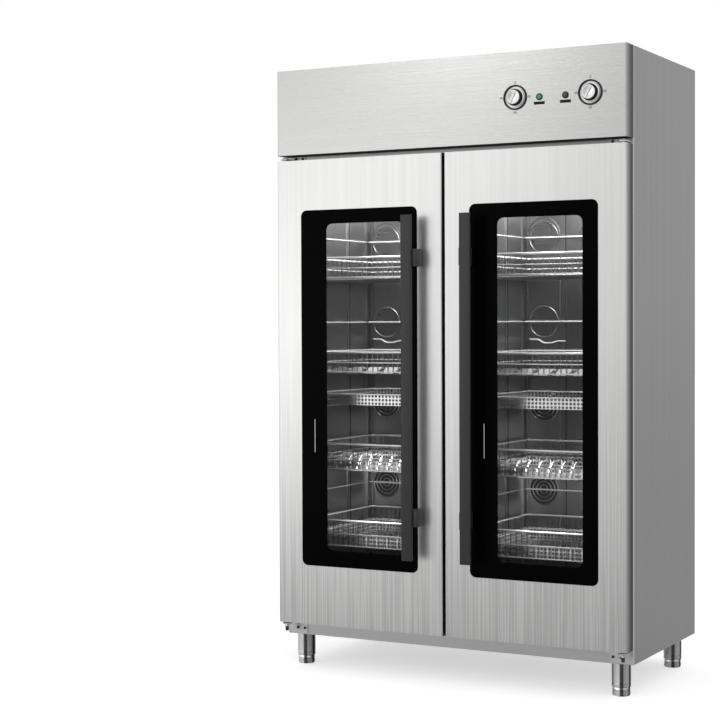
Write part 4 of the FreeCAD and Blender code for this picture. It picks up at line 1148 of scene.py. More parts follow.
# ---------------------------------------------------------------- casing
@dataclass
class Casing:
    """Outer panels with their edge beads, pale as painted highlights, a dark strip under the fascia
    as painted shade, the rear louvres and the rear screws.
    """

    shop: Workshop
    bead_radius: float = 0.005
    bead_proud: float = 0.0025
    bead_depth: float = 0.0085
    steps: int = 6
    # Dark strip under the fascia, as painted shade of its underside.
    seal: float = 0.0012
    seal_inset: float = 0.001
    seal_round: float = 0.0004
    hood: Flat = (0.007, 0.012)
    slot_length: float = 0.18
    slot_centres: Flat = (-0.3, 0.0)
    slot_rise: float = 0.089
    slot_rows: Row = (6, UP * 0.018)
    screw_head: float = 0.0045
    screw_rise: float = 0.002
    screw_inset: float = 0.012
    screw_pitch: float = 0.2

    def build(self) -> None:
        """Dress the sheet nodes and add what stands on them."""
        self.shop.dress(
            {
                "control_fascia": Look.FASCIA,
                "top_cover": Look.TOP,
                "back_panel": Look.BACK,
                "base_pan": Look.RAIL,
                "front_frame": Look.FRAME,
                "control_shelf": Look.ZINC,
                "bay_liner": Look.LINER,
                "centre_partition": Look.LINER,
                "insulation_slabs": Look.WOOL,
            }
        )
        for side in Side:
            self._side_panel(side)
        self._drip_seal()
        self._louvres()
        self._rear_screws()

    def _side_panel(self, side: Side) -> None:
        """Make a side panel, darker as painted shade, and the pale bead that covers its front edge,
        pale as a painted highlight of the fold.
        """
        node = side.label + "_side_panel"
        low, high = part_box(node)
        sheet = high.x - low.x
        outer_x = max(abs(low.x), abs(high.x))
        inner_x = outer_x - sheet
        front = low.y - self.bead_proud
        seam = front + self.bead_depth
        centre = (outer_x - self.bead_radius, front + self.bead_radius)
        outer, inner = (
            arc(centre, (radius, -radius), 0.0, 90.0, self.steps)
            for radius in (self.bead_radius, self.bead_radius - sheet)
        )
        bead = [(outer_x, seam), *outer, *reversed(inner), (inner_x, seam)]
        flat = [(outer_x, high.y), (outer_x, seam), (inner_x, seam), (inner_x, high.y)]
        for end, outline, finish, nodes in (
            ("_bead", bead, Look.BEAD, ()),
            ("_sheet", flat, Look.SIDE, (node,)),
        ):
            mould = Mould()
            mould.prism([(side.value * x, y) for x, y in outline], Axis.Z, low.z, high.z)
            self.shop.make(mould, node + end, finish, CABINET, "brushed_panel", *nodes)

    def _drip_seal(self) -> None:
        """Make a dark strip under the fascia, above the doors, as painted shade of the fascia's
        underside.
        """
        low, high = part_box("control_fascia")
        start = (low.x + self.seal_inset, low.y + self.seal_inset, low.z - self.seal)
        end = (high.x - self.seal_inset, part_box("front_frame")[0].y, low.z)
        mould = Mould()
        mould.box(start, end, self.seal_round, 1)
        self.shop.make(mould, "fascia_seal", Look.RUBBER, CABINET, "black_rubber")

    def _louvres(self) -> None:
        """Make the pressed hoods over the ventilation slots of the back panel."""
        corner = (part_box("back_panel")[1].y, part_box("control_shelf")[0].z + self.slot_rise)
        left, right = self.slot_centres
        half = self.slot_length / 2
        outline = [corner, *arc(corner, self.hood, 0.0, 90.0, self.steps)]
        mould = Mould()
        mould.prism(outline, Axis.X, left - half, left + half)
        columns = (len(self.slot_centres), ACROSS * (right - left))
        self.shop.repeat(
            mould, "louvre_hoods", Look.BACK, CABINET, "plain_steel", columns, self.slot_rows
        )

    def _rear_screws(self) -> None:
        """Make the screws round the edge of the back panel."""
        low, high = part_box("back_panel")
        head, rise, inset = self.screw_head, self.screw_rise, self.screw_inset
        profile = ((0, 0), (head, 0), (head, rise * 0.5), (head * 0.7, rise), (0, rise))
        width, height = high.x - low.x - 2 * inset, high.z - low.z - 2 * inset
        across, up = round(width / self.screw_pitch), round(height / self.screw_pitch)
        pitch = width / across
        for name, shift, columns, rows in (
            ("upright", 0.0, (2, ACROSS * width), (up + 1, UP * (height / up))),
            ("across", pitch, (across - 1, ACROSS * pitch), (2, UP * height)),
        ):
            mould = Mould()
            mould.lathe(profile, (low.x + inset + shift, high.y, low.z + inset), DEEP, 16)
            name = "rear_screws_" + name
            self.shop.repeat(mould, name, Look.SCREW, CABINET, "zinc_steel", columns, rows)


# ---------------------------------------------------------------- doors
@dataclass
class Door:
    """One door: skin, glazed window with its printed border, gasket and handle."""

    shop: Workshop
    side: Side
    border_low: Vector = field(default_factory=lambda: Vector((0.0945, 0.0, 0.052)))
    border_high: Vector = field(default_factory=lambda: Vector((0.0495, 0.0, 0.0455)))
    inner_radius: float = 0.021
    outer_radius: float = 0.020
    print_thickness: float = 0.0003
    lining: float = 0.0008
    seat: float = 0.025
    gasket_width: float = 0.012
    gasket_bend: float = 0.004
    gasket_steps: int = 5
    web_share: float = 0.4
    handle_radius: float = 0.0025
    bracket_radius: float = 0.0015
    bracket_height: float = 0.054
    bracket_trim: float = 0.006
    line_width: float = 0.0018
    line_length: float = 0.107
    line_rise: float = 0.37
    line_inset: float = 0.049

    def build(self) -> None:
        """Dress the door's nodes and make its window, lining and handle."""
        looks = {"door_skin": Look.DOOR, "door_core": Look.WOOL, "door_inner_panel": Look.FRAME}
        self.shop.dress({self._named(part): finish for part, finish in looks.items()})
        self._window()
        self._lining()
        self._gasket()
        self._handle()

    def _named(self, part: str) -> str:
        """Return the name of one of this door's parts."""
        return self.side.label + "_" + part

    def _make(self, mould: Mould, part: str, finish: Finish, slot: str, *nodes: str) -> None:
        """Put a piece on the door.

        Args:
            mould: its faces.
            part: its name without the side.
            finish: its finish.
            slot: the record's material slot.
            nodes: CAD nodes that it stands for, without the side.
        """
        replaced = [self._named(node) for node in nodes]
        self.shop.make(mould, self._named(part), finish, self._named("door"), slot, *replaced)

    def _window(self) -> None:
        """Make the pane, the black border on it and the thin white line."""
        low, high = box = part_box(self._named("door_glass"))
        opening = (low + self.border_low, high - self.border_high)
        outer = rounded_rectangle(Axis.Y.corners(box, self.outer_radius), self.outer_radius)
        inner = rounded_rectangle(Axis.Y.corners(opening, self.inner_radius), self.inner_radius)
        back = low.y + self.print_thickness
        pane, border, line = Mould(), Mould(), Mould()
        pane.prism(outer, Axis.Y, back, high.y)
        self._make(pane, "window_pane", Look.PANE, "black_glass", "door_glass")
        border.frame(outer, inner, Axis.Y, low.y, back)
        self._make(border, "window_border", Look.PRINT, "black_glass")
        middle, half = low.x + self.line_inset, self.line_width / 2
        foot = low.z + self.line_rise
        start = (middle - half, low.y - self.print_thickness, foot)
        line.box(start, (middle + half, low.y, foot + self.line_length))
        self._make(line, "window_line", Look.LINE, "black_glass")

    def _lining(self) -> None:
        """Make the sheet that lines the window through the door."""
        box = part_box(self._named("door_glass"))
        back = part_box(self._named("door_inner_panel"))[1].y
        rows = [Axis.Y.corners(box, inset) for inset in (self.seat, self.seat + self.lining)]
        mould = Mould()
        mould.frame(*rows, Axis.Y, box[1].y, back)
        self._make(mould, "window_lining", Look.FRAME, "plain_steel")

    def _gasket(self) -> None:
        """Make the gasket with its rounded sealing lip."""
        low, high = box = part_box(self._named("door_gasket"))
        radius = (high.y - low.y) / 2
        rows = [Axis.Y.corners(box, inset) for inset in (radius, self.gasket_width - radius)]
        mould = Mould()
        for row in rows:
            corners = Axis.Y.place(row, low.y + radius)
            mould.tube(bent(corners, self.gasket_bend, True, self.gasket_steps), radius, True)
        web = radius * self.web_share
        mould.frame(*rows, Axis.Y, low.y + web, high.y - web)
        self._make(mould, "door_seal", Look.RUBBER, "black_rubber", "door_gasket")

    def _handle(self) -> None:
        """Make the bar and its two brackets with softened edges."""
        bar, brackets = Mould(), Mould()
        bar.box(*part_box(self._named("door_handle")), self.handle_radius, 3)
        self._make(bar, "handle_bar", Look.HANDLE, "charcoal_metal", "door_handle")
        low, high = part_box(self._named("handle_brackets"))
        if self.side is Side.RIGHT:
            low.x += self.bracket_trim
        for foot in (low.z, high.z - self.bracket_height):
            top = foot + self.bracket_height
            brackets.box((low.x, low.y, foot), (high.x, high.y, top), self.bracket_radius)
        self._make(brackets, "bar_brackets", Look.BRACKET, "bracket_metal", "handle_brackets")


# ---------------------------------------------------------------- racks
LEVELS: tuple[float, ...] = (0.562, 0.846, 1.13, 1.414)
BAY_CENTRE: float = 0.3
WALLS: tuple[tuple[str, float, int], ...] = (("near", 0.03, 1), ("far", 0.57, -1))


@dataclass
class Rack:
    """Slotted posts, cross bars and runners on the walls of both bays."""

    shop: Workshop
    slot: Flat = (0.0035, 0.008)
    slot_pitch: float = 0.03
    sheet: float = 0.0012
    width: float = 0.024
    post_depth: float = 0.008
    bar_offset: float = 0.0035
    bar_radius: float = 0.0022

    def build(self) -> None:
        """Make the posts and dress the bars and runners."""
        self.shop.dress({"basket_runners": Look.RACK, "rack_cross_bars": Look.WIRE})
        low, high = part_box("rack_posts")
        nodes = ["rack_posts"]
        for end, start in (("front", low.y), ("rear", high.y - self.width)):
            for side in Side:
                for place, wall, inward in WALLS:
                    name = f"post_{end}_{side.label}_{place}"
                    self._post(name, side, wall, inward, start, low.z, high.z, nodes)
                    nodes = []
        self._wall_bars(low.y + self.width / 2, high.y - self.width / 2)

    def _wall_bars(self, start: float, end: float) -> None:
        """Make the level wires between the posts of each wall."""
        mould = Mould()
        for side in Side:
            for _, wall, inward in WALLS:
                x = side.value * (wall + inward * self.bar_offset)
                for height in LEVELS:
                    path = [Vector((x, start, height)), Vector((x, end, height))]
                    mould.tube(path, self.bar_radius, False, 8)
        self.shop.make(mould, "wall_bars", Look.WIRE, CABINET, "chrome_wire")

    def _post(
        self, name: str, side: Side, wall: float, inward: int, start: float, foot: float,
        top: float, nodes: Sequence[str]
    ) -> None:
        """Make one post: a slotted face and two flanges back to the wall.

        Args:
            name: start of the pieces' names.
            side: half of the cabinet.
            wall: distance of the wall from the middle of the cabinet.
            inward: sign of the direction from the wall into the bay.
            start: where the post begins along Y.
            foot: its lower end.
            top: its upper end.
            nodes: CAD nodes that it stands for.
        """
        face = wall + inward * self.post_depth
        near, far = sorted((wall, face))
        flanges = Mould()
        for edge in (start, start + self.width - self.sheet):
            flanges.box(*side.box((near, edge, foot), (far, edge + self.sheet, top)))
        self.shop.make(flanges, name + "_flanges", Look.LINER, CABINET, "plain_steel", *nodes)
        corner = (side.value * face, start, foot)
        sides = (DEEP * self.width, UP * (top - foot))
        counts = (1, round((top - foot) / self.slot_pitch))
        back = ACROSS * (-side.value * inward * self.sheet)
        name += "_face"
        self.shop.sheet(name, Look.LINER, CABINET, corner, sides, counts, self.slot, back)


# ---------------------------------------------------------------- baskets and trays
@dataclass
class WireBasket:
    """A welded wire basket: bent wires both ways, a thick rim and a middle wire."""

    shop: Workshop
    side: Side
    level: str
    pan_height: float = 0.0
    dividers: bool = False
    rests: bool = False
    rim: float = 0.0035
    band: float = 0.002
    wire: float = 0.0015
    bend: float = 0.008
    corner: float = 0.012
    pitch: float = 0.0185
    floor_pitch: float = 0.05
    foot_gap: float = 0.004
    pan_gap: float = 0.002
    gap: float = 0.0005
    rest_start: float = 0.02
    rest_pitch: float = 0.063
    rest_size: Flat = (0.046, 0.021)
    rest_lean: float = 0.026
    rest_sheet: float = 0.0012
    lean: float = 0.018
    divider_start: Flat = (0.05, 0.09)
    divider_half: float = 0.045
    divider_height: float = 0.05
    divider_pitch: float = 0.038
    divider_bend: float = 0.02

    @property
    def node(self) -> str:
        """Return the CAD node that the basket stands for."""
        return self.side.label + "_" + self.level

    def build(self) -> None:
        """Make rim, middle wire, bent wires, and the pan or dividers where it has them."""
        low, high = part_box(self.node)
        self._hoops(low, high)
        self._bent_wires(low, high)
        if self.pan_height:
            inset = 2 * self.rim + 2 * self.wire + self.pan_gap
            foot = low.z + 4 * self.wire + self.gap
            start = Vector((low.x + inset, low.y + inset, foot))
            end = Vector((high.x - inset, high.y - inset, foot + self.pan_height))
            PerforatedPan(self.shop, self.node + "_pan", self.node, start, end).build()
        if self.dividers:
            self._dividers(low, high)
        if self.rests:
            self._rests(low, high)

    def _hoops(self, low: Vector, high: Vector) -> None:
        """Make the rim, the band at half height and the foot loop."""
        inset = 2 * self.rim - self.band
        foot = low.z + self.wire + self.band + self.foot_gap
        mould = Mould()
        for shrink, height, radius, sides in (
            (self.rim, high.z - self.rim, self.rim, 12),
            (inset, (low.z + high.z) / 2, self.band, 10),
            (inset, foot, self.band, 10),
        ):
            mould.tube(hoop((low, high), shrink, height, self.corner), radius, True, sides)
        self.shop.make(mould, self.node + "_hoops", Look.WIRE, self.node, "chrome_wire", self.node)

    def _bent_wires(self, low: Vector, high: Vector) -> None:
        """Make the two families of wires that run down, across the floor and up, in a darker copy
        of the wire as painted shade.
        """
        inset = 2 * self.rim + self.wire
        margin = inset + self.corner
        top, foot = high.z - self.rim, low.z + self.wire
        for name, axis, along, pitch in (
            ("_wires_deep", Axis.X, ACROSS, self.pitch),
            ("_wires_across", Axis.Y, DEEP, self.floor_pitch),
        ):
            start, end = axis.flat(low)[0] + inset, axis.flat(high)[0] - inset
            run = ((start, top), (start, foot), (end, foot), (end, top))
            path = bent(axis.place(run, low.dot(along) + margin), self.bend, False)
            span = (high - low).dot(along) - 2 * margin
            count = round(span / pitch)
            row = (count + 1, along * (span / count))
            self.shop.wires(self.node + name, Look.MESH_WIRE, self.node, path, self.wire, row)
            foot += 2 * self.wire

    def _dividers(self, low: Vector, high: Vector) -> None:
        """Make the leaning loops that hold plates apart."""
        start, middle = low.x + self.divider_start[0], low.y + self.divider_start[1]
        foot = low.z + 4 * self.wire
        top, end, half = foot + self.divider_height, start + self.lean, self.divider_half
        corners = (
            (start, middle - half, foot),
            (end, middle - half, top),
            (end, middle + half, top),
            (start, middle + half, foot),
        )
        path = bent(corners, self.divider_bend, False, 6)
        count = int((high.x - low.x - 2 * self.divider_start[0]) / self.divider_pitch)
        row = (count, ACROSS * self.divider_pitch)
        self.shop.wires(self.node + "_plate_loops", Look.WIRE, self.node, path, self.band, row)

    def _rests(self, low: Vector, high: Vector) -> None:
        """Make the leaning tongues along the front that plates stand against."""
        foot, start = low.z + 2 * self.wire, low.x + self.rest_start
        (width, rise), lean = self.rest_size, self.rest_lean
        outline = (
            (start, foot),
            (start + width, foot),
            (start + width + lean, foot + rise),
            (start + lean, foot + rise),
        )
        front = low.y + 2 * self.rim + 2 * self.wire + self.gap
        mould = Mould()
        mould.prism(outline, Axis.Y, front, front + self.rest_sheet)
        count = int((high.x - start - width - lean) / self.rest_pitch) + 1
        columns = (count, ACROSS * self.rest_pitch)
        name = self.node + "_plate_rests"
        self.shop.repeat(mould, name, Look.WIRE, self.node, "plain_steel", columns)


@dataclass
class PerforatedPan:
    """A pan of perforated sheet with a rolled rim."""

    shop: Workshop
    name: str
    body: str
    low: Vector
    high: Vector
    node: str = ""
    sheet: float = 0.0008
    rim: float = 0.0025
    corner: float = 0.006
    floor_pitch: float = 0.018
    wall_pitch: float = 0.0125
    hole_share: float = 0.38

    def build(self) -> None:
        """Make the floor, the walls and the rim."""
        nodes = [self.node] if self.node else []
        top = self.high.z - self.rim
        rim = Mould()
        rim.tube(hoop((self.low, self.high), self.rim, top, self.corner), self.rim, True)
        self.shop.make(rim, self.name + "_rim", Look.WIRE, self.body, "plain_steel", *nodes)
        inset = self.rim - self.sheet / 2
        start = self.low + (ACROSS + DEEP) * inset
        width = ACROSS * (self.high.x - self.low.x - 2 * inset)
        depth = DEEP * (self.high.y - self.low.y - 2 * inset)
        rise = UP * (top - self.low.z)
        rear = start + depth - DEEP * self.sheet
        right = start + width - ACROSS * self.sheet
        for part, corner, u, v, normal in (
            ("floor", start, width, depth, UP),
            ("wall_front", start, width, rise, DEEP),
            ("wall_rear", rear, width, rise, DEEP),
            ("wall_left", start, depth, rise, ACROSS),
            ("wall_right", right, depth, rise, ACROSS),
        ):
            floor = part == "floor"
            finish = Look.LINER if floor else Look.TRAY
            pitch = self.floor_pitch if floor else self.wall_pitch
            counts = [max(1, round(side.length / pitch)) for side in (u, v)]
            radius = self.hole_share * min(u.length / counts[0], v.length / counts[1])
            name, hole, back = f"{self.name}_{part}", (radius, radius), normal * self.sheet
            self.shop.sheet(name, finish, self.body, corner, (u, v), counts, hole, back)


# ---------------------------------------------------------------- air circulation
@dataclass
class AirSystem:
    """Duct covers with ribs, seams and collars, edge strips, fans, heaters and probes."""

    shop: Workshop
    near_column: float = 0.102
    margin: float = 0.02
    rib_reach: float = 0.058
    rib_radius: float = 0.0018
    arch_height: float = 1.423
    arch_steps: int = 20
    seam_reach: float = 0.08
    seam_width: float = 0.0035
    seam_depth: Flat = (0.0004, 0.0005)
    guard_radius: float = 0.0028
    guard_bend: float = 0.012
    guard_height: float = 1.07
    guard_proud: float = 0.003
    guard_run: tuple[Flat, ...] = (
        (-0.05, 0.0),
        (-0.02, 0.0),
        (0.0, 0.012),
        (0.03, 0.012),
        (0.05, 0.006),
        (0.078, 0.006),
    )
    strip_edge: float = 0.0495
    strip_start: float = 0.0015
    strip_sheet: float = 0.001
    wall_rib: tuple[float, float, float] = (0.104, 0.004, 0.003)
    wall_seam: tuple[float, float, float] = (0.122, 0.003, 0.0005)
    wall_sink: float = 0.0003
    wall_round: float = 0.0002
    collar_radius: float = 0.052
    collar_wire: float = 0.0025
    collar_steps: int = 8
    guard_radii: tuple[float, ...] = (0.014, 0.027, 0.04, 0.052)
    shade_depth: float = 0.001
    around: int = 40

    def build(self) -> None:
        """Dress the nodes and add what is pressed into the bay walls."""
        self.shop.dress(
            {
                "duct_covers": Look.DUCT,
                "fan_motors": Look.ZINC,
                "heaters": Look.SHEATH,
                "temperature_probes": Look.SCREW,
                "left_fan_wheel": Look.ZINC,
                "right_fan_wheel": Look.ZINC,
            }
        )
        low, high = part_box("duct_covers")
        self._duct_lines(low.y, low.z + self.margin, high.z - self.margin)
        self._edge_strips(low.y + self.strip_start, low.z, high.z)
        self._wall_lines(low.z, high.z)
        for index, x in enumerate(self._both_ways(self.near_column)):
            self._collars(index + 1, x, low.y)

    def _both_ways(self, reach: float) -> list[float]:
        """Return four places across the cabinet that mirror a reach from the middle."""
        far = 2 * BAY_CENTRE - reach
        return [side.value * x for side in Side for x in (reach, far)]

    def _make(self, mould: Mould, name: str, finish: Finish) -> None:
        """Put a piece on the bay walls."""
        self.shop.make(mould, name, finish, CABINET, "liner_steel")

    def _duct_lines(self, face: float, foot: float, top: float) -> None:
        """Make the arched ribs, dark as painted shadow lines of pressed grooves, the dark seams
        round each outlet column, and a guard wire.
        """
        ribs, seams, guards = Mould(), Mould(), Mould()
        reach, half = self.rib_reach, self.seam_width / 2
        for x in self._both_ways(self.near_column):
            arch = arc((x, self.arch_height), (reach, reach), 180.0, -180.0, self.arch_steps)
            run = [(x - reach, foot), *arch, (x + reach, foot)]
            ribs.tube(Axis.Y.place(run, face), self.rib_radius, False, 8)
            run = [(x + shift, self.guard_height - dip) for shift, dip in self.guard_run]
            path = bent(Axis.Y.place(run, face - self.guard_proud), self.guard_bend, False)
            guards.tube(path, self.guard_radius, False, 8)
        for x in self._both_ways(self.near_column + self.seam_reach):
            proud, sunk = self.seam_depth
            seams.box((x - half, face - proud, foot), (x + half, face + sunk, top))
        # The ribs take the dark heater finish as painted shadow lines.
        self._make(ribs, "duct_ribs", Look.SHEATH)
        self._make(seams, "duct_seams", Look.RUBBER)
        self._make(guards, "guard_wires", Look.WIRE)

    def _edge_strips(self, face: float, foot: float, top: float) -> None:
        """Make the strips that close the corners beside the duct covers."""
        mould = Mould()
        for side in Side:
            for _, wall, inward in WALLS:
                edge = BAY_CENTRE + inward * (self.strip_edge - BAY_CENTRE)
                near, far = sorted((wall, edge))
                mould.box(*side.box((near, face, foot), (far, face + self.strip_sheet, top)))
        self._make(mould, "duct_edge_strips", Look.DUCT)

    def _wall_lines(self, foot: float, top: float) -> None:
        """Make a rib and a dark seam on each side wall of both bays."""
        for name, (place, half, rise), finish in (
            ("wall_ribs", self.wall_rib, Look.RACK),
            ("wall_seams", self.wall_seam, Look.RUBBER),
        ):
            mould = Mould()
            for side in Side:
                for _, wall, inward in WALLS:
                    near, far = sorted((wall - inward * self.wall_sink, wall + inward * rise))
                    ends = side.box((near, place - half, foot), (far, place + half, top))
                    mould.box(*ends, self.wall_round)
            self._make(mould, name, finish)

    def _collars(self, number: int, x: float, face: float) -> None:
        """Make the collars round a column's upper outlets, the guards over the lower ones, and a
        dark disc behind each guard as painted shade of the opening.
        """
        wire = (self.collar_wire, self.collar_wire)
        rise = UP * (LEVELS[1] - LEVELS[0])
        for name, levels, radii, finish in (
            ("outlet_collars", LEVELS[2:], (self.collar_radius,), Look.DUCT),
            ("outlet_guards", LEVELS[:2], self.guard_radii, Look.MESH_WIRE),
        ):
            mould = Mould()
            for radius in radii:
                profile = arc((radius, 0.0), wire, 0.0, 180.0, self.collar_steps)
                profile.append(profile[0])
                mould.lathe(profile, (x, face, levels[0]), OUTWARD, self.around)
            name, rows = f"{name}_{number}", (len(levels), rise)
            self.shop.repeat(mould, name, finish, CABINET, "liner_steel", ONE, rows)
        # Dark discs behind the guards, as painted shade of the openings.
        reach, deep = self.collar_radius, self.shade_depth
        shades = Mould()
        for height in LEVELS[:2]:
            disc = ((0.0, 0.0), (reach, 0.0), (reach, deep), (0.0, deep))
            shades.lathe(disc, (x, face, height), OUTWARD, self.around)
        self._make(shades, f"outlet_mesh_{number}", Look.RUBBER)


# ---------------------------------------------------------------- controls
@dataclass
class Controls:
    """Timer knobs with their dials, lamps with their plates, and what lies behind."""

    shop: Workshop
    lamp_plate: Flat = (0.035, 0.009)
    plate_drop: float = 0.0185
    plate_thickness: float = 0.0006
    plate_round: float = 0.0002
    lens_gap: float = 0.0028
    lens_foot: float = 0.001
    lens_steps: int = 8
    number_height: float = 0.0105
    number_reach: float = 0.0455
    number_depth: float = 0.00005
    number_spread: float = 0.00008
    tick_count: int = 12
    tick_low: Color = (-0.0004, -0.0001, 0.0392)
    tick_high: Color = (0.0004, 0.0, 0.0412)
    marks: tuple[str, ...] = ("0", "30", "60", "90")
    knob_color: Color = (0.76, 0.76, 0.755)
    knob_gloss: Flat = (0.22, 0.34)
    knob_rings: float = 2500.0
    knob_gap: float = 0.0025
    knurl_count: int = 60
    skirt_radius: float = 0.0295
    cap_radius: float = 0.0222
    cap_foot: float = 0.0258
    grip_turn: float = math.radians(30.0)
    grip_rise: float = 0.0024 * 0.72
    grip_sink: float = 0.0006
    rim_outer: float = 0.0382
    rim_inner: float = 0.0332
    rim_rise: float = 0.0032
    around: int = 72

    def build(self) -> None:
        """Make both knobs and both lamps, and dress the rest."""
        self.shop.dress(
            {
                "timers": Look.BLACK,
                "terminal_block": Look.TERMINAL,
                "cable_gland": Look.BLACK,
                "dial_rings": Look.BLACK,
            }
        )
        for side in Side:
            centre = self._knob_centre(side)
            self._knob(side, centre)
            self._dial(side.label + "_dial_", centre)
        self._lamp("power_lamp", Look.GREEN, "green_lens")
        self._lamp("heating_lamp", Look.RED, "red_lens")

    @staticmethod
    def _knob_centre(side: Side) -> Vector:
        """Return the knob's centre on the face of the fascia."""
        low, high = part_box("dial_rings")
        radius = (high.z - low.z) / 2
        x = low.x + radius if side is Side.LEFT else high.x - radius
        return Vector((x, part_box("control_fascia")[0].y, (low.z + high.z) / 2))

    def _knob(self, side: Side, centre: Vector) -> None:
        """Make a knob: skirt, cap with a dished top, grip, pointer line, and the band and knurls,
        dark as a painted reflection of dark surroundings.
        """
        node = side.label + "_knob"
        top = centre.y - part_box(node)[0].y - self.knob_gap
        skirt, cap, foot = self.skirt_radius, self.cap_radius, self.cap_foot
        profile = (
            (0.003, 0.0015),
            (skirt, 0.0015),
            (skirt, 0.0028),
            (skirt - 0.0008, 0.0034),
            (foot - 0.001, 0.0038),
            (foot - 0.001, 0.0044),
            (cap - 0.0012, top - 0.0004),
            (cap - 0.0024, top),
            (cap - 0.0042, top),
            (cap - 0.0050, top - 0.0004),
            (0.0, top - 0.0009),
        )
        tones = (shade(self.knob_color, 0.88), self.knob_color)
        name = "knob_metal_" + side.label
        turned = RoundMetal(name, tuple(centre), tones, self.knob_gloss, self.knob_rings)
        mould = Mould()
        mould.lathe(profile, centre, OUTWARD, self.around)
        self.shop.make(mould, node + "_turned", turned, node, "knob_metal", node, shut=False)
        self._grip(node, centre, top, turned)
        self._band(node, centre, top)
        self._knurls(node, centre, top)

    def _grip(self, node: str, centre: Vector, top: float, metal: Finish) -> None:
        """Make the low grip across the cap, with its pointer line.

        Args:
            node: the knob.
            centre: its centre on the fascia.
            top: height of its cap.
            metal: its finish.
        """
        turn = Matrix.Rotation(self.grip_turn, 3, "Y")
        for name, half, start, reach, lift, finish in (
            ("_grip", 0.0026, -0.0185, 0.0185, self.grip_rise, metal),
            ("_pointer", 0.0006, 0.004, 0.0145, self.grip_rise + 0.0002, Look.INK),
        ):
            mould = Mould()
            radius = min(half, 0.0008) * 0.9
            mould.box((-half, -lift, start), (half, self.grip_sink, reach), radius)
            for vert in mould.bm.verts:
                vert.co = centre + OUTWARD * top + turn @ vert.co
            self.shop.make(mould, node + name, finish, node, "knob_metal")

    def _band(self, node: str, centre: Vector, top: float) -> None:
        """Make the tapered band round the cap, dark as a painted reflection of dark surroundings.
        """
        cap, foot = self.cap_radius, self.cap_foot
        profile = (
            (foot - 0.0012, 0.0040),
            (foot, 0.0040),
            (foot, 0.0052),
            (cap + 0.0001, top - 0.0012),
            (cap - 0.0006, top - 0.0005),
            (cap - 0.0014, top - 0.0006),
            (foot - 0.0012, 0.0040),
        )
        mould = Mould()
        mould.lathe(profile, centre, OUTWARD, self.around)
        self.shop.make(mould, node + "_band", Look.DARK_SCREW, node, "knob_metal")

    def _knurls(self, node: str, centre: Vector, top: float) -> None:
        """Make the fine ribs round the tapered band, in the same dark metal as painted reflection.
        """
        foot, cap = self.cap_foot, self.cap_radius
        half = math.tau * cap / self.knurl_count / 4
        low, high = -top + 0.0028, -0.0056
        mould = Mould()
        mould.box((-half, low, foot - 0.0005), (half, high, foot + 0.0003), half * 0.4, 1)
        for vert in mould.bm.verts:
            share = (vert.co.y - low) / (high - low)
            vert.co.z -= (1 - share) * (foot - cap - 0.0004)
        ring = (self.knurl_count, centre)
        self.shop.around(mould, node + "_knurls", Look.DARK_SCREW, node, "knob_metal", *ring)

    def _dial(self, name: str, centre: Vector) -> None:
        """Make the rim of a dial, and print ticks and plain numbers round it."""
        outer, inner, rise = self.rim_outer, self.rim_inner, self.rim_rise
        band = ((outer, 0.0), (outer, rise), (inner, rise), (inner, 0.0), (outer, 0.0))
        rim, tick = Mould(), Mould()
        rim.lathe(band, centre, OUTWARD, 64)
        self.shop.make(rim, name + "rim", Look.BLACK, CABINET, "black_plastic")
        tick.box(self.tick_low, self.tick_high)
        ring = (self.tick_count, centre)
        self.shop.around(tick, name + "ticks", Look.INK, CABINET, "black_plastic", *ring)
        for index, mark in enumerate(self.marks):
            angle = math.tau * index / len(self.marks)
            place = centre + (ACROSS * math.sin(angle) + UP * math.cos(angle)) * self.number_reach
            self._number(f"{name}number_{mark}", mark, place)

    def _number(self, name: str, text: str, place: Vector) -> None:
        """Print one number on the fascia."""
        curve = bpy.data.curves.new(name, "FONT")
        curve.body = text
        curve.size = self.number_height
        curve.align_x = curve.align_y = "CENTER"
        curve.extrude = self.number_depth
        curve.offset = self.number_spread
        source = link(name + "_text", curve)
        seen = source.evaluated_get(bpy.context.evaluated_depsgraph_get())
        mesh = bpy.data.meshes.new_from_object(seen)
        bpy.data.objects.remove(source)
        mesh.transform(Matrix.Translation(place) @ Matrix.Rotation(math.radians(90), 4, "X"))
        welded = bmesh.new()
        welded.from_mesh(mesh)
        bmesh.ops.remove_doubles(welded, verts=welded.verts, dist=WELD)
        bmesh.ops.recalc_face_normals(welded, faces=welded.faces)
        welded.to_mesh(mesh)
        welded.free()
        mesh.materials.clear()
        mesh.materials.append(self.shop.material(Look.INK))
        self.shop.fit(link(name, mesh), CABINET, "black_plastic")

    def _lamp(self, node: str, lens_look: Finish, slot: str) -> None:
        """Make a lamp: bezel, domed lens and the bare plate under it."""
        low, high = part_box(node)
        radius = (high.z - low.z) / 2
        centre = (low + high) / 2
        centre.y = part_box("control_fascia")[0].y
        profile = (
            (radius, 0.0),
            (radius, 0.0014),
            (radius - 0.0006, 0.002),
            (radius - 0.0022, 0.002),
            (radius - 0.0026, 0.0012),
            (radius - 0.0026, 0.0),
            (radius, 0.0),
        )
        bezel, dome, plate = Mould(), Mould(), Mould()
        bezel.lathe(profile, centre, OUTWARD)
        self.shop.make(bezel, node + "_bezel", Look.BLACK, CABINET, "black_plastic", node)
        reach, foot = radius - self.lens_gap, self.lens_foot
        radii = (reach, centre.y - low.y - foot)
        profile = [(reach, 0.0), *arc((0.0, foot), radii, 0.0, 90.0, self.lens_steps)]
        dome.lathe(profile, centre, OUTWARD)
        self.shop.make(dome, node + "_lens", lens_look, CABINET, slot, shut=False)
        half, tall = self.lamp_plate[0] / 2, self.lamp_plate[1]
        foot = centre.z - self.plate_drop - tall / 2
        start = (centre.x - half, centre.y - self.plate_thickness, foot)
        plate.box(start, (centre.x + half, centre.y, foot + tall), self.plate_round, 1)
        self.shop.make(plate, node + "_plate", Look.INK, CABINET, "black_plastic")


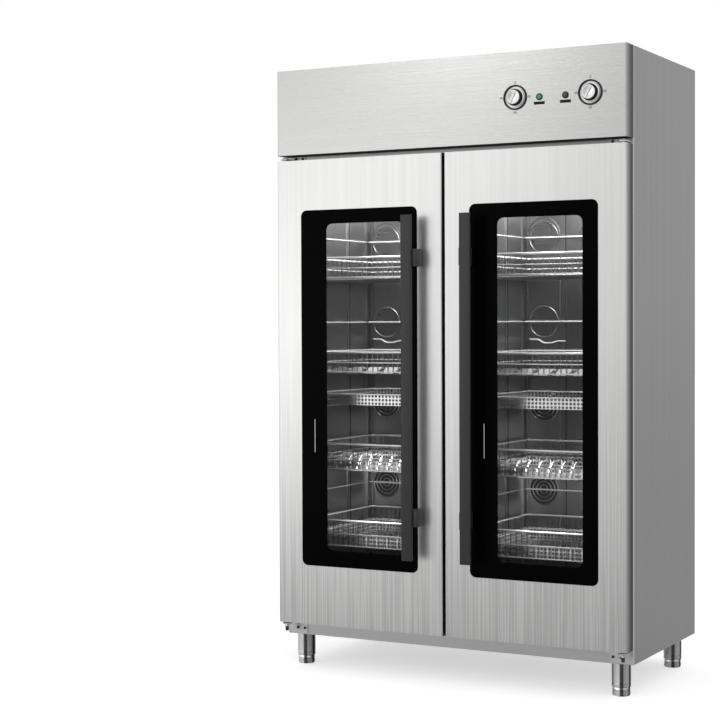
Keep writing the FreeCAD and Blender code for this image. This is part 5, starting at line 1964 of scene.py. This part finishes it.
# ---------------------------------------------------------------- hinges and legs
@dataclass
class Fittings:
    """Hinge brackets, pins and screws, leg tubes and adjusting feet."""

    shop: Workshop
    groove: float = 0.0012
    segments: int = 64
    leg: Flat = (0.0085, 0.029)
    flange: float = 0.034
    foot: Flat = (0.027, 0.027)
    stem: float = 0.008
    # Painted highlight and painted dark reflection tones of the legs and feet.
    polish_tones: tuple[Color, Color] = (grey(0.98), grey(0.03))
    polish_gloss: Flat = (0.2, 0.26)
    nut_radius: float = 0.009
    shank: float = 0.0055
    tail: float = 0.014
    spacer: float = 0.0032
    spacer_height: float = 0.0134
    lower_pin: Flat = (0.008, 0.033)
    upper_pin: Flat = (0.0035, 0.028)

    def build(self) -> None:
        """Dress the hinges and make the legs and feet."""
        self.shop.dress({"hinge_brackets": Look.ZINC, "bracket_screws": Look.DARK_SCREW})
        for side in Side:
            self._pins(side)
        places = [f"{end}_{side.label}" for end in ("front", "rear") for side in Side]
        for index, place in enumerate(places):
            self._leg(place, () if index else ("leg_tubes",))
        for place in places:
            self._foot(place)

    def _pins(self, side: Side) -> None:
        """Make the two pivot pins of a door: shaft, six-sided nut and dark washers."""
        low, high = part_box("hinge_pins")
        radius, shank = self.nut_radius, self.shank
        x, y = (high.x - radius) * side.value, (low.y + high.y) / 2
        steel, dark = Mould(), Mould()
        for start, axis, (nut, shaft) in (
            (low.z, UP, self.lower_pin),
            (high.z, -UP, self.upper_pin),
        ):
            place = (x, y, start)
            steel.lathe(self._nut(nut), place, axis, 6)
            rod = ((0.0, nut - 0.001), (shank, nut - 0.001), (shank, shaft), (0.0, shaft))
            steel.lathe(rod, place, axis, 24)
            washer = (
                (shank + 0.0002, nut),
                (radius + 0.0008, nut),
                (radius + 0.0008, nut + 0.0008),
                (shank + 0.0002, nut + 0.0008),
                (shank + 0.0002, nut),
            )
            dark.lathe(washer, place, axis, 32)
        tail = ((0.0, 0.0), (0.004, 0.0), (shank, 0.0015), (shank, self.tail), (0.0, self.tail))
        dark.lathe(tail, (x, y, low.z - self.tail), UP, 24)
        spacer = ((0.0, 0.0), (radius, 0.0), (radius, self.spacer), (0.0, self.spacer))
        dark.lathe(spacer, (x, y, low.z + self.spacer_height), UP, 24)
        label = side.label
        nodes = ("hinge_pins",) if side is Side.LEFT else ()
        self.shop.make(steel, label + "_pivot_pins", Look.SCREW, CABINET, "polished_tube", *nodes)
        self.shop.make(dark, label + "_pivot_washers", Look.RUBBER, CABINET, "black_rubber")

    def _nut(self, height: float) -> list[Flat]:
        """Return the profile of a nut with chamfered corners."""
        radius = self.nut_radius
        return [
            (0.0, 0.0),
            (radius - 0.0015, 0.0),
            (radius, 0.001),
            (radius, height - 0.001),
            (radius - 0.0005, height),
            (0.0, height),
        ]

    def _turned(
        self, profile: Sequence[Flat], place: str, name: str, polish: str, body: str, *nodes: str
    ) -> None:
        """Turn a leg or a foot about the upright axis of its place.

        Args:
            profile: its profile, from the floor up.
            place: its end and side.
            name: name of the piece.
            polish: name of its finish, which has painted reflection streaks around its own axis.
            body: the body that it moves with.
            nodes: CAD nodes that it stands for.
        """
        low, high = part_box("foot_" + place)
        centre = Vector(((low.x + high.x) / 2, (low.y + high.y) / 2, 0.0))
        finish = RoundMetal(polish, tuple(centre), self.polish_tones, self.polish_gloss)
        mould = Mould()
        mould.lathe(profile, centre, UP, self.segments)
        self.shop.make(mould, name, finish, body, "polished_tube", *nodes)

    def _leg(self, place: str, nodes: Sequence[str]) -> None:
        """Make a leg tube with a flange at the top and a rounded lower lip."""
        low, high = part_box("leg_tubes")
        foot, top = low.z, high.z
        (bore, radius), flange = self.leg, self.flange
        profile = (
            (bore, foot),
            (radius - 0.0015, foot),
            (radius - 0.0004, foot + 0.0004),
            (radius, foot + 0.0015),
            (radius, foot + 0.010),
            (radius - self.groove, foot + 0.011),
            (radius - self.groove, foot + 0.012),
            (radius, foot + 0.013),
            (radius, top - 0.004),
            (radius + 0.001, top - 0.0022),
            (flange - 0.0005, top - 0.0018),
            (flange, top - 0.001),
            (flange, top),
            (bore, top),
            (bore, foot),
        )
        name = "leg_" + place
        self._turned(profile, place, name + "_tube", name + "_polish", CABINET, *nodes)

    def _foot(self, place: str) -> None:
        """Make one adjusting foot with a ring groove and a rounded sole."""
        node = "foot_" + place
        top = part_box(node)[1].z
        (radius, height), stem = self.foot, self.stem
        profile = (
            (0.0, 0.0),
            (radius - 0.004, 0.0),
            (radius - 0.0018, 0.0008),
            (radius - 0.0005, 0.0024),
            (radius, 0.0045),
            (radius, height - 0.011),
            (radius - self.groove, height - 0.0102),
            (radius - self.groove, height - 0.0088),
            (radius, height - 0.008),
            (radius, height - 0.0015),
            (radius - 0.001, height),
            (stem, height),
            (stem, top - 0.001),
            (stem - 0.001, top),
            (0.0, top),
        )
        self._turned(profile, place, node + "_turned", node + "_polish", node, node)


# ---------------------------------------------------------------- studio
@dataclass(frozen=True)
class Lobe:
    """A darker part of the room, which only shiny surfaces see."""

    direction: Color
    start: float
    full: float
    depth: float


@dataclass(frozen=True)
class Lamp:
    """One soft square lamp: where it hangs, what it points at, its side and its watts."""

    name: str
    place: Color
    aim: Color
    size: float
    power: float

    def hang(self) -> None:
        """Put the lamp into the scene."""
        light = bpy.data.lights.new(self.name, "AREA")
        light.shape = "SQUARE"
        light.size = self.size
        light.energy = self.power
        lamp = link(self.name, light)
        lamp.location = self.place
        toward = Vector(self.aim) - Vector(self.place)
        lamp.rotation_euler = toward.to_track_quat("-Z", "Y").to_euler()


@dataclass
class Studio:
    """Floor, daylight-like world, soft lamps and the camera."""

    focal_px: float = 1715.309
    frame_px: float = 720.0
    sensor: float = 36.0
    clip_end: float = 200.0
    yaw: float = math.radians(28.461)
    pitch: float = math.radians(-1.245)
    roll: float = math.radians(-0.2198)
    camera_x: float = 2.3193
    camera_z: float = 1.1286
    camera_from_doors: float = 4.8226
    floor_size: float = 60.0
    floor_color: Color = grey(0.88)
    floor_lift: float = 0.54
    ambient: float = 0.62
    lobes: tuple[Lobe, ...] = (
        Lobe((0.225, -0.974, 0.0), 0.79, 0.98, 0.45),
        Lobe((0.82, 0.57, 0.0), 0.5, 0.95, 0.4),
    )
    lamps: tuple[Lamp, ...] = (
        Lamp("left_panel", (-3.3, -5.0, 0.95), (0.0, -0.3, 0.7), 3.2, 19.0),
        Lamp("top_panel", (-2.1, -4.9, 3.2), (0.0, -0.3, 1.8), 0.8, 7.5),
        Lamp("low_panel", (-3.6, -4.2, 0.7), (-0.4, -0.3, 0.4), 1.4, 6.0),
        Lamp("left_bay_glow", (-0.3, -0.05, 1.6), (-0.3, 0.1, 0.2), 0.3, 6.4),
        Lamp("left_foot_glow", (-0.3, -0.2, 0.6), (-0.3, 0.26, 0.5), 0.2, 1.15),
        Lamp("right_bay_glow", (0.3, -0.05, 1.6), (0.3, 0.1, 0.2), 0.3, 6.4),
        Lamp("right_foot_glow", (0.3, -0.2, 0.6), (0.3, 0.26, 0.5), 0.2, 1.15),
        Lamp("right_lamp", (3.9, -5.9, 3.8), (0.0, 0.0, 1.0), 7.3, 60.0),
    )

    def build(self) -> None:
        """Set up everything that isn't part of the cabinet."""
        bpy.context.scene.view_settings.view_transform = "Standard"
        self._floor()
        self._world()
        for lamp in self.lamps:
            lamp.hang()
        self._camera()

    def _floor(self) -> None:
        """Lay the pale floor, which the camera sees a little brighter than it is lit."""
        surface = Surface("studio_floor", Roughness=0.9, Specular_IOR_Level=0.0)
        rays = surface.graph.add("ShaderNodeLightPath").outputs
        lift = surface.graph.math("MULTIPLY", rays["Is Camera Ray"], self.floor_lift)
        base, white = (*self.floor_color, 1.0), (1.0, 1.0, 1.0, 1.0)
        surface.feed(Base_Color=base, Emission_Color=white, Emission_Strength=lift)
        half = self.floor_size / 2
        mesh = bpy.data.meshes.new("studio_floor")
        corners = [(-half, -half, 0), (half, -half, 0), (half, half, 0), (-half, half, 0)]
        mesh.from_pydata(corners, [], [(0, 1, 2, 3)])
        mesh.materials.append(surface.material)
        link("studio_floor", mesh)

    def _world(self) -> None:
        """Light the room evenly, with a white background that metal and glass show."""
        world = bpy.data.worlds.new("studio")
        bpy.context.scene.world = world
        world.use_nodes = True
        graph = Graph(world.node_tree)
        rays = graph.add("ShaderNodeLightPath").outputs
        shiny = graph.math("MAXIMUM", rays["Is Glossy Ray"], rays["Is Transmission Ray"])
        shown = graph.math("MAXIMUM", rays["Is Camera Ray"], shiny)
        strength = graph.spread(shown, target=(self.ambient, 1.0))
        direction = graph.value("ShaderNodeTexCoord", {}, "Generated")
        color: object = (1.0, 1.0, 1.0, 1.0)
        for lobe in self.lobes:
            toward = graph.vector_math("DOT_PRODUCT", direction, lobe.direction, output="Value")
            dim = graph.spread(toward, (lobe.start, lobe.full), (0.0, lobe.depth), True)
            amount = graph.math("MULTIPLY", dim, rays["Is Glossy Ray"])
            color = graph.mix("RGBA", amount, color, (0.0, 0.0, 0.0, 1.0))
        graph.feed(world.node_tree.nodes["Background"], {"Color": color, "Strength": strength})

    def _camera(self) -> None:
        """Set the camera at the height, distance and lens of a standing photographer."""
        level_right = Vector((math.cos(self.yaw), math.sin(self.yaw), 0.0))
        level_ahead = UP.cross(level_right)
        forward = level_ahead * math.cos(self.pitch) + UP * math.sin(self.pitch)
        level_up = level_right.cross(forward)
        right = level_right * math.cos(self.roll) + level_up * math.sin(self.roll)
        up = level_up * math.cos(self.roll) - level_right * math.sin(self.roll)
        view = bpy.data.cameras.new("camera")
        view.sensor_width = self.sensor
        view.lens = self.focal_px / self.frame_px * self.sensor
        view.clip_end = self.clip_end
        camera = link("camera", view)
        turn = Matrix((right, up, -forward)).transposed().to_4x4()
        door_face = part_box("right_door_skin")[0].y
        place = Vector((self.camera_x, door_face - self.camera_from_doors, self.camera_z))
        camera.matrix_world = Matrix.Translation(place) @ turn
        bpy.context.scene.camera = camera


def baskets(shop: Workshop) -> None:
    """Build every basket and tray of both bays."""
    for side in Side:
        WireBasket(shop, side, "top_basket").build()
        WireBasket(shop, side, "second_basket", rests=True).build()
        WireBasket(shop, side, "third_basket", pan_height=0.032, dividers=True).build()
        WireBasket(shop, side, "fourth_basket", pan_height=0.04).build()
        node = side.label + "_tray"
        PerforatedPan(shop, node + "_sheet", node, *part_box(node), node=node).build()


def main() -> None:
    """Build the cabinet's looks, one sub-assembly after another."""
    logging.basicConfig(level=logging.INFO, format="%(message)s")
    shop = Workshop(Effects(), Repeats())
    Casing(shop).build()
    for side in Side:
        Door(shop, side).build()
    Rack(shop).build()
    baskets(shop)
    AirSystem(shop).build()
    Controls(shop).build()
    Fittings(shop).build()
    Studio().build()
    LOG.info("%d pieces made", shop.made)


if __name__ == "__main__":
    main()
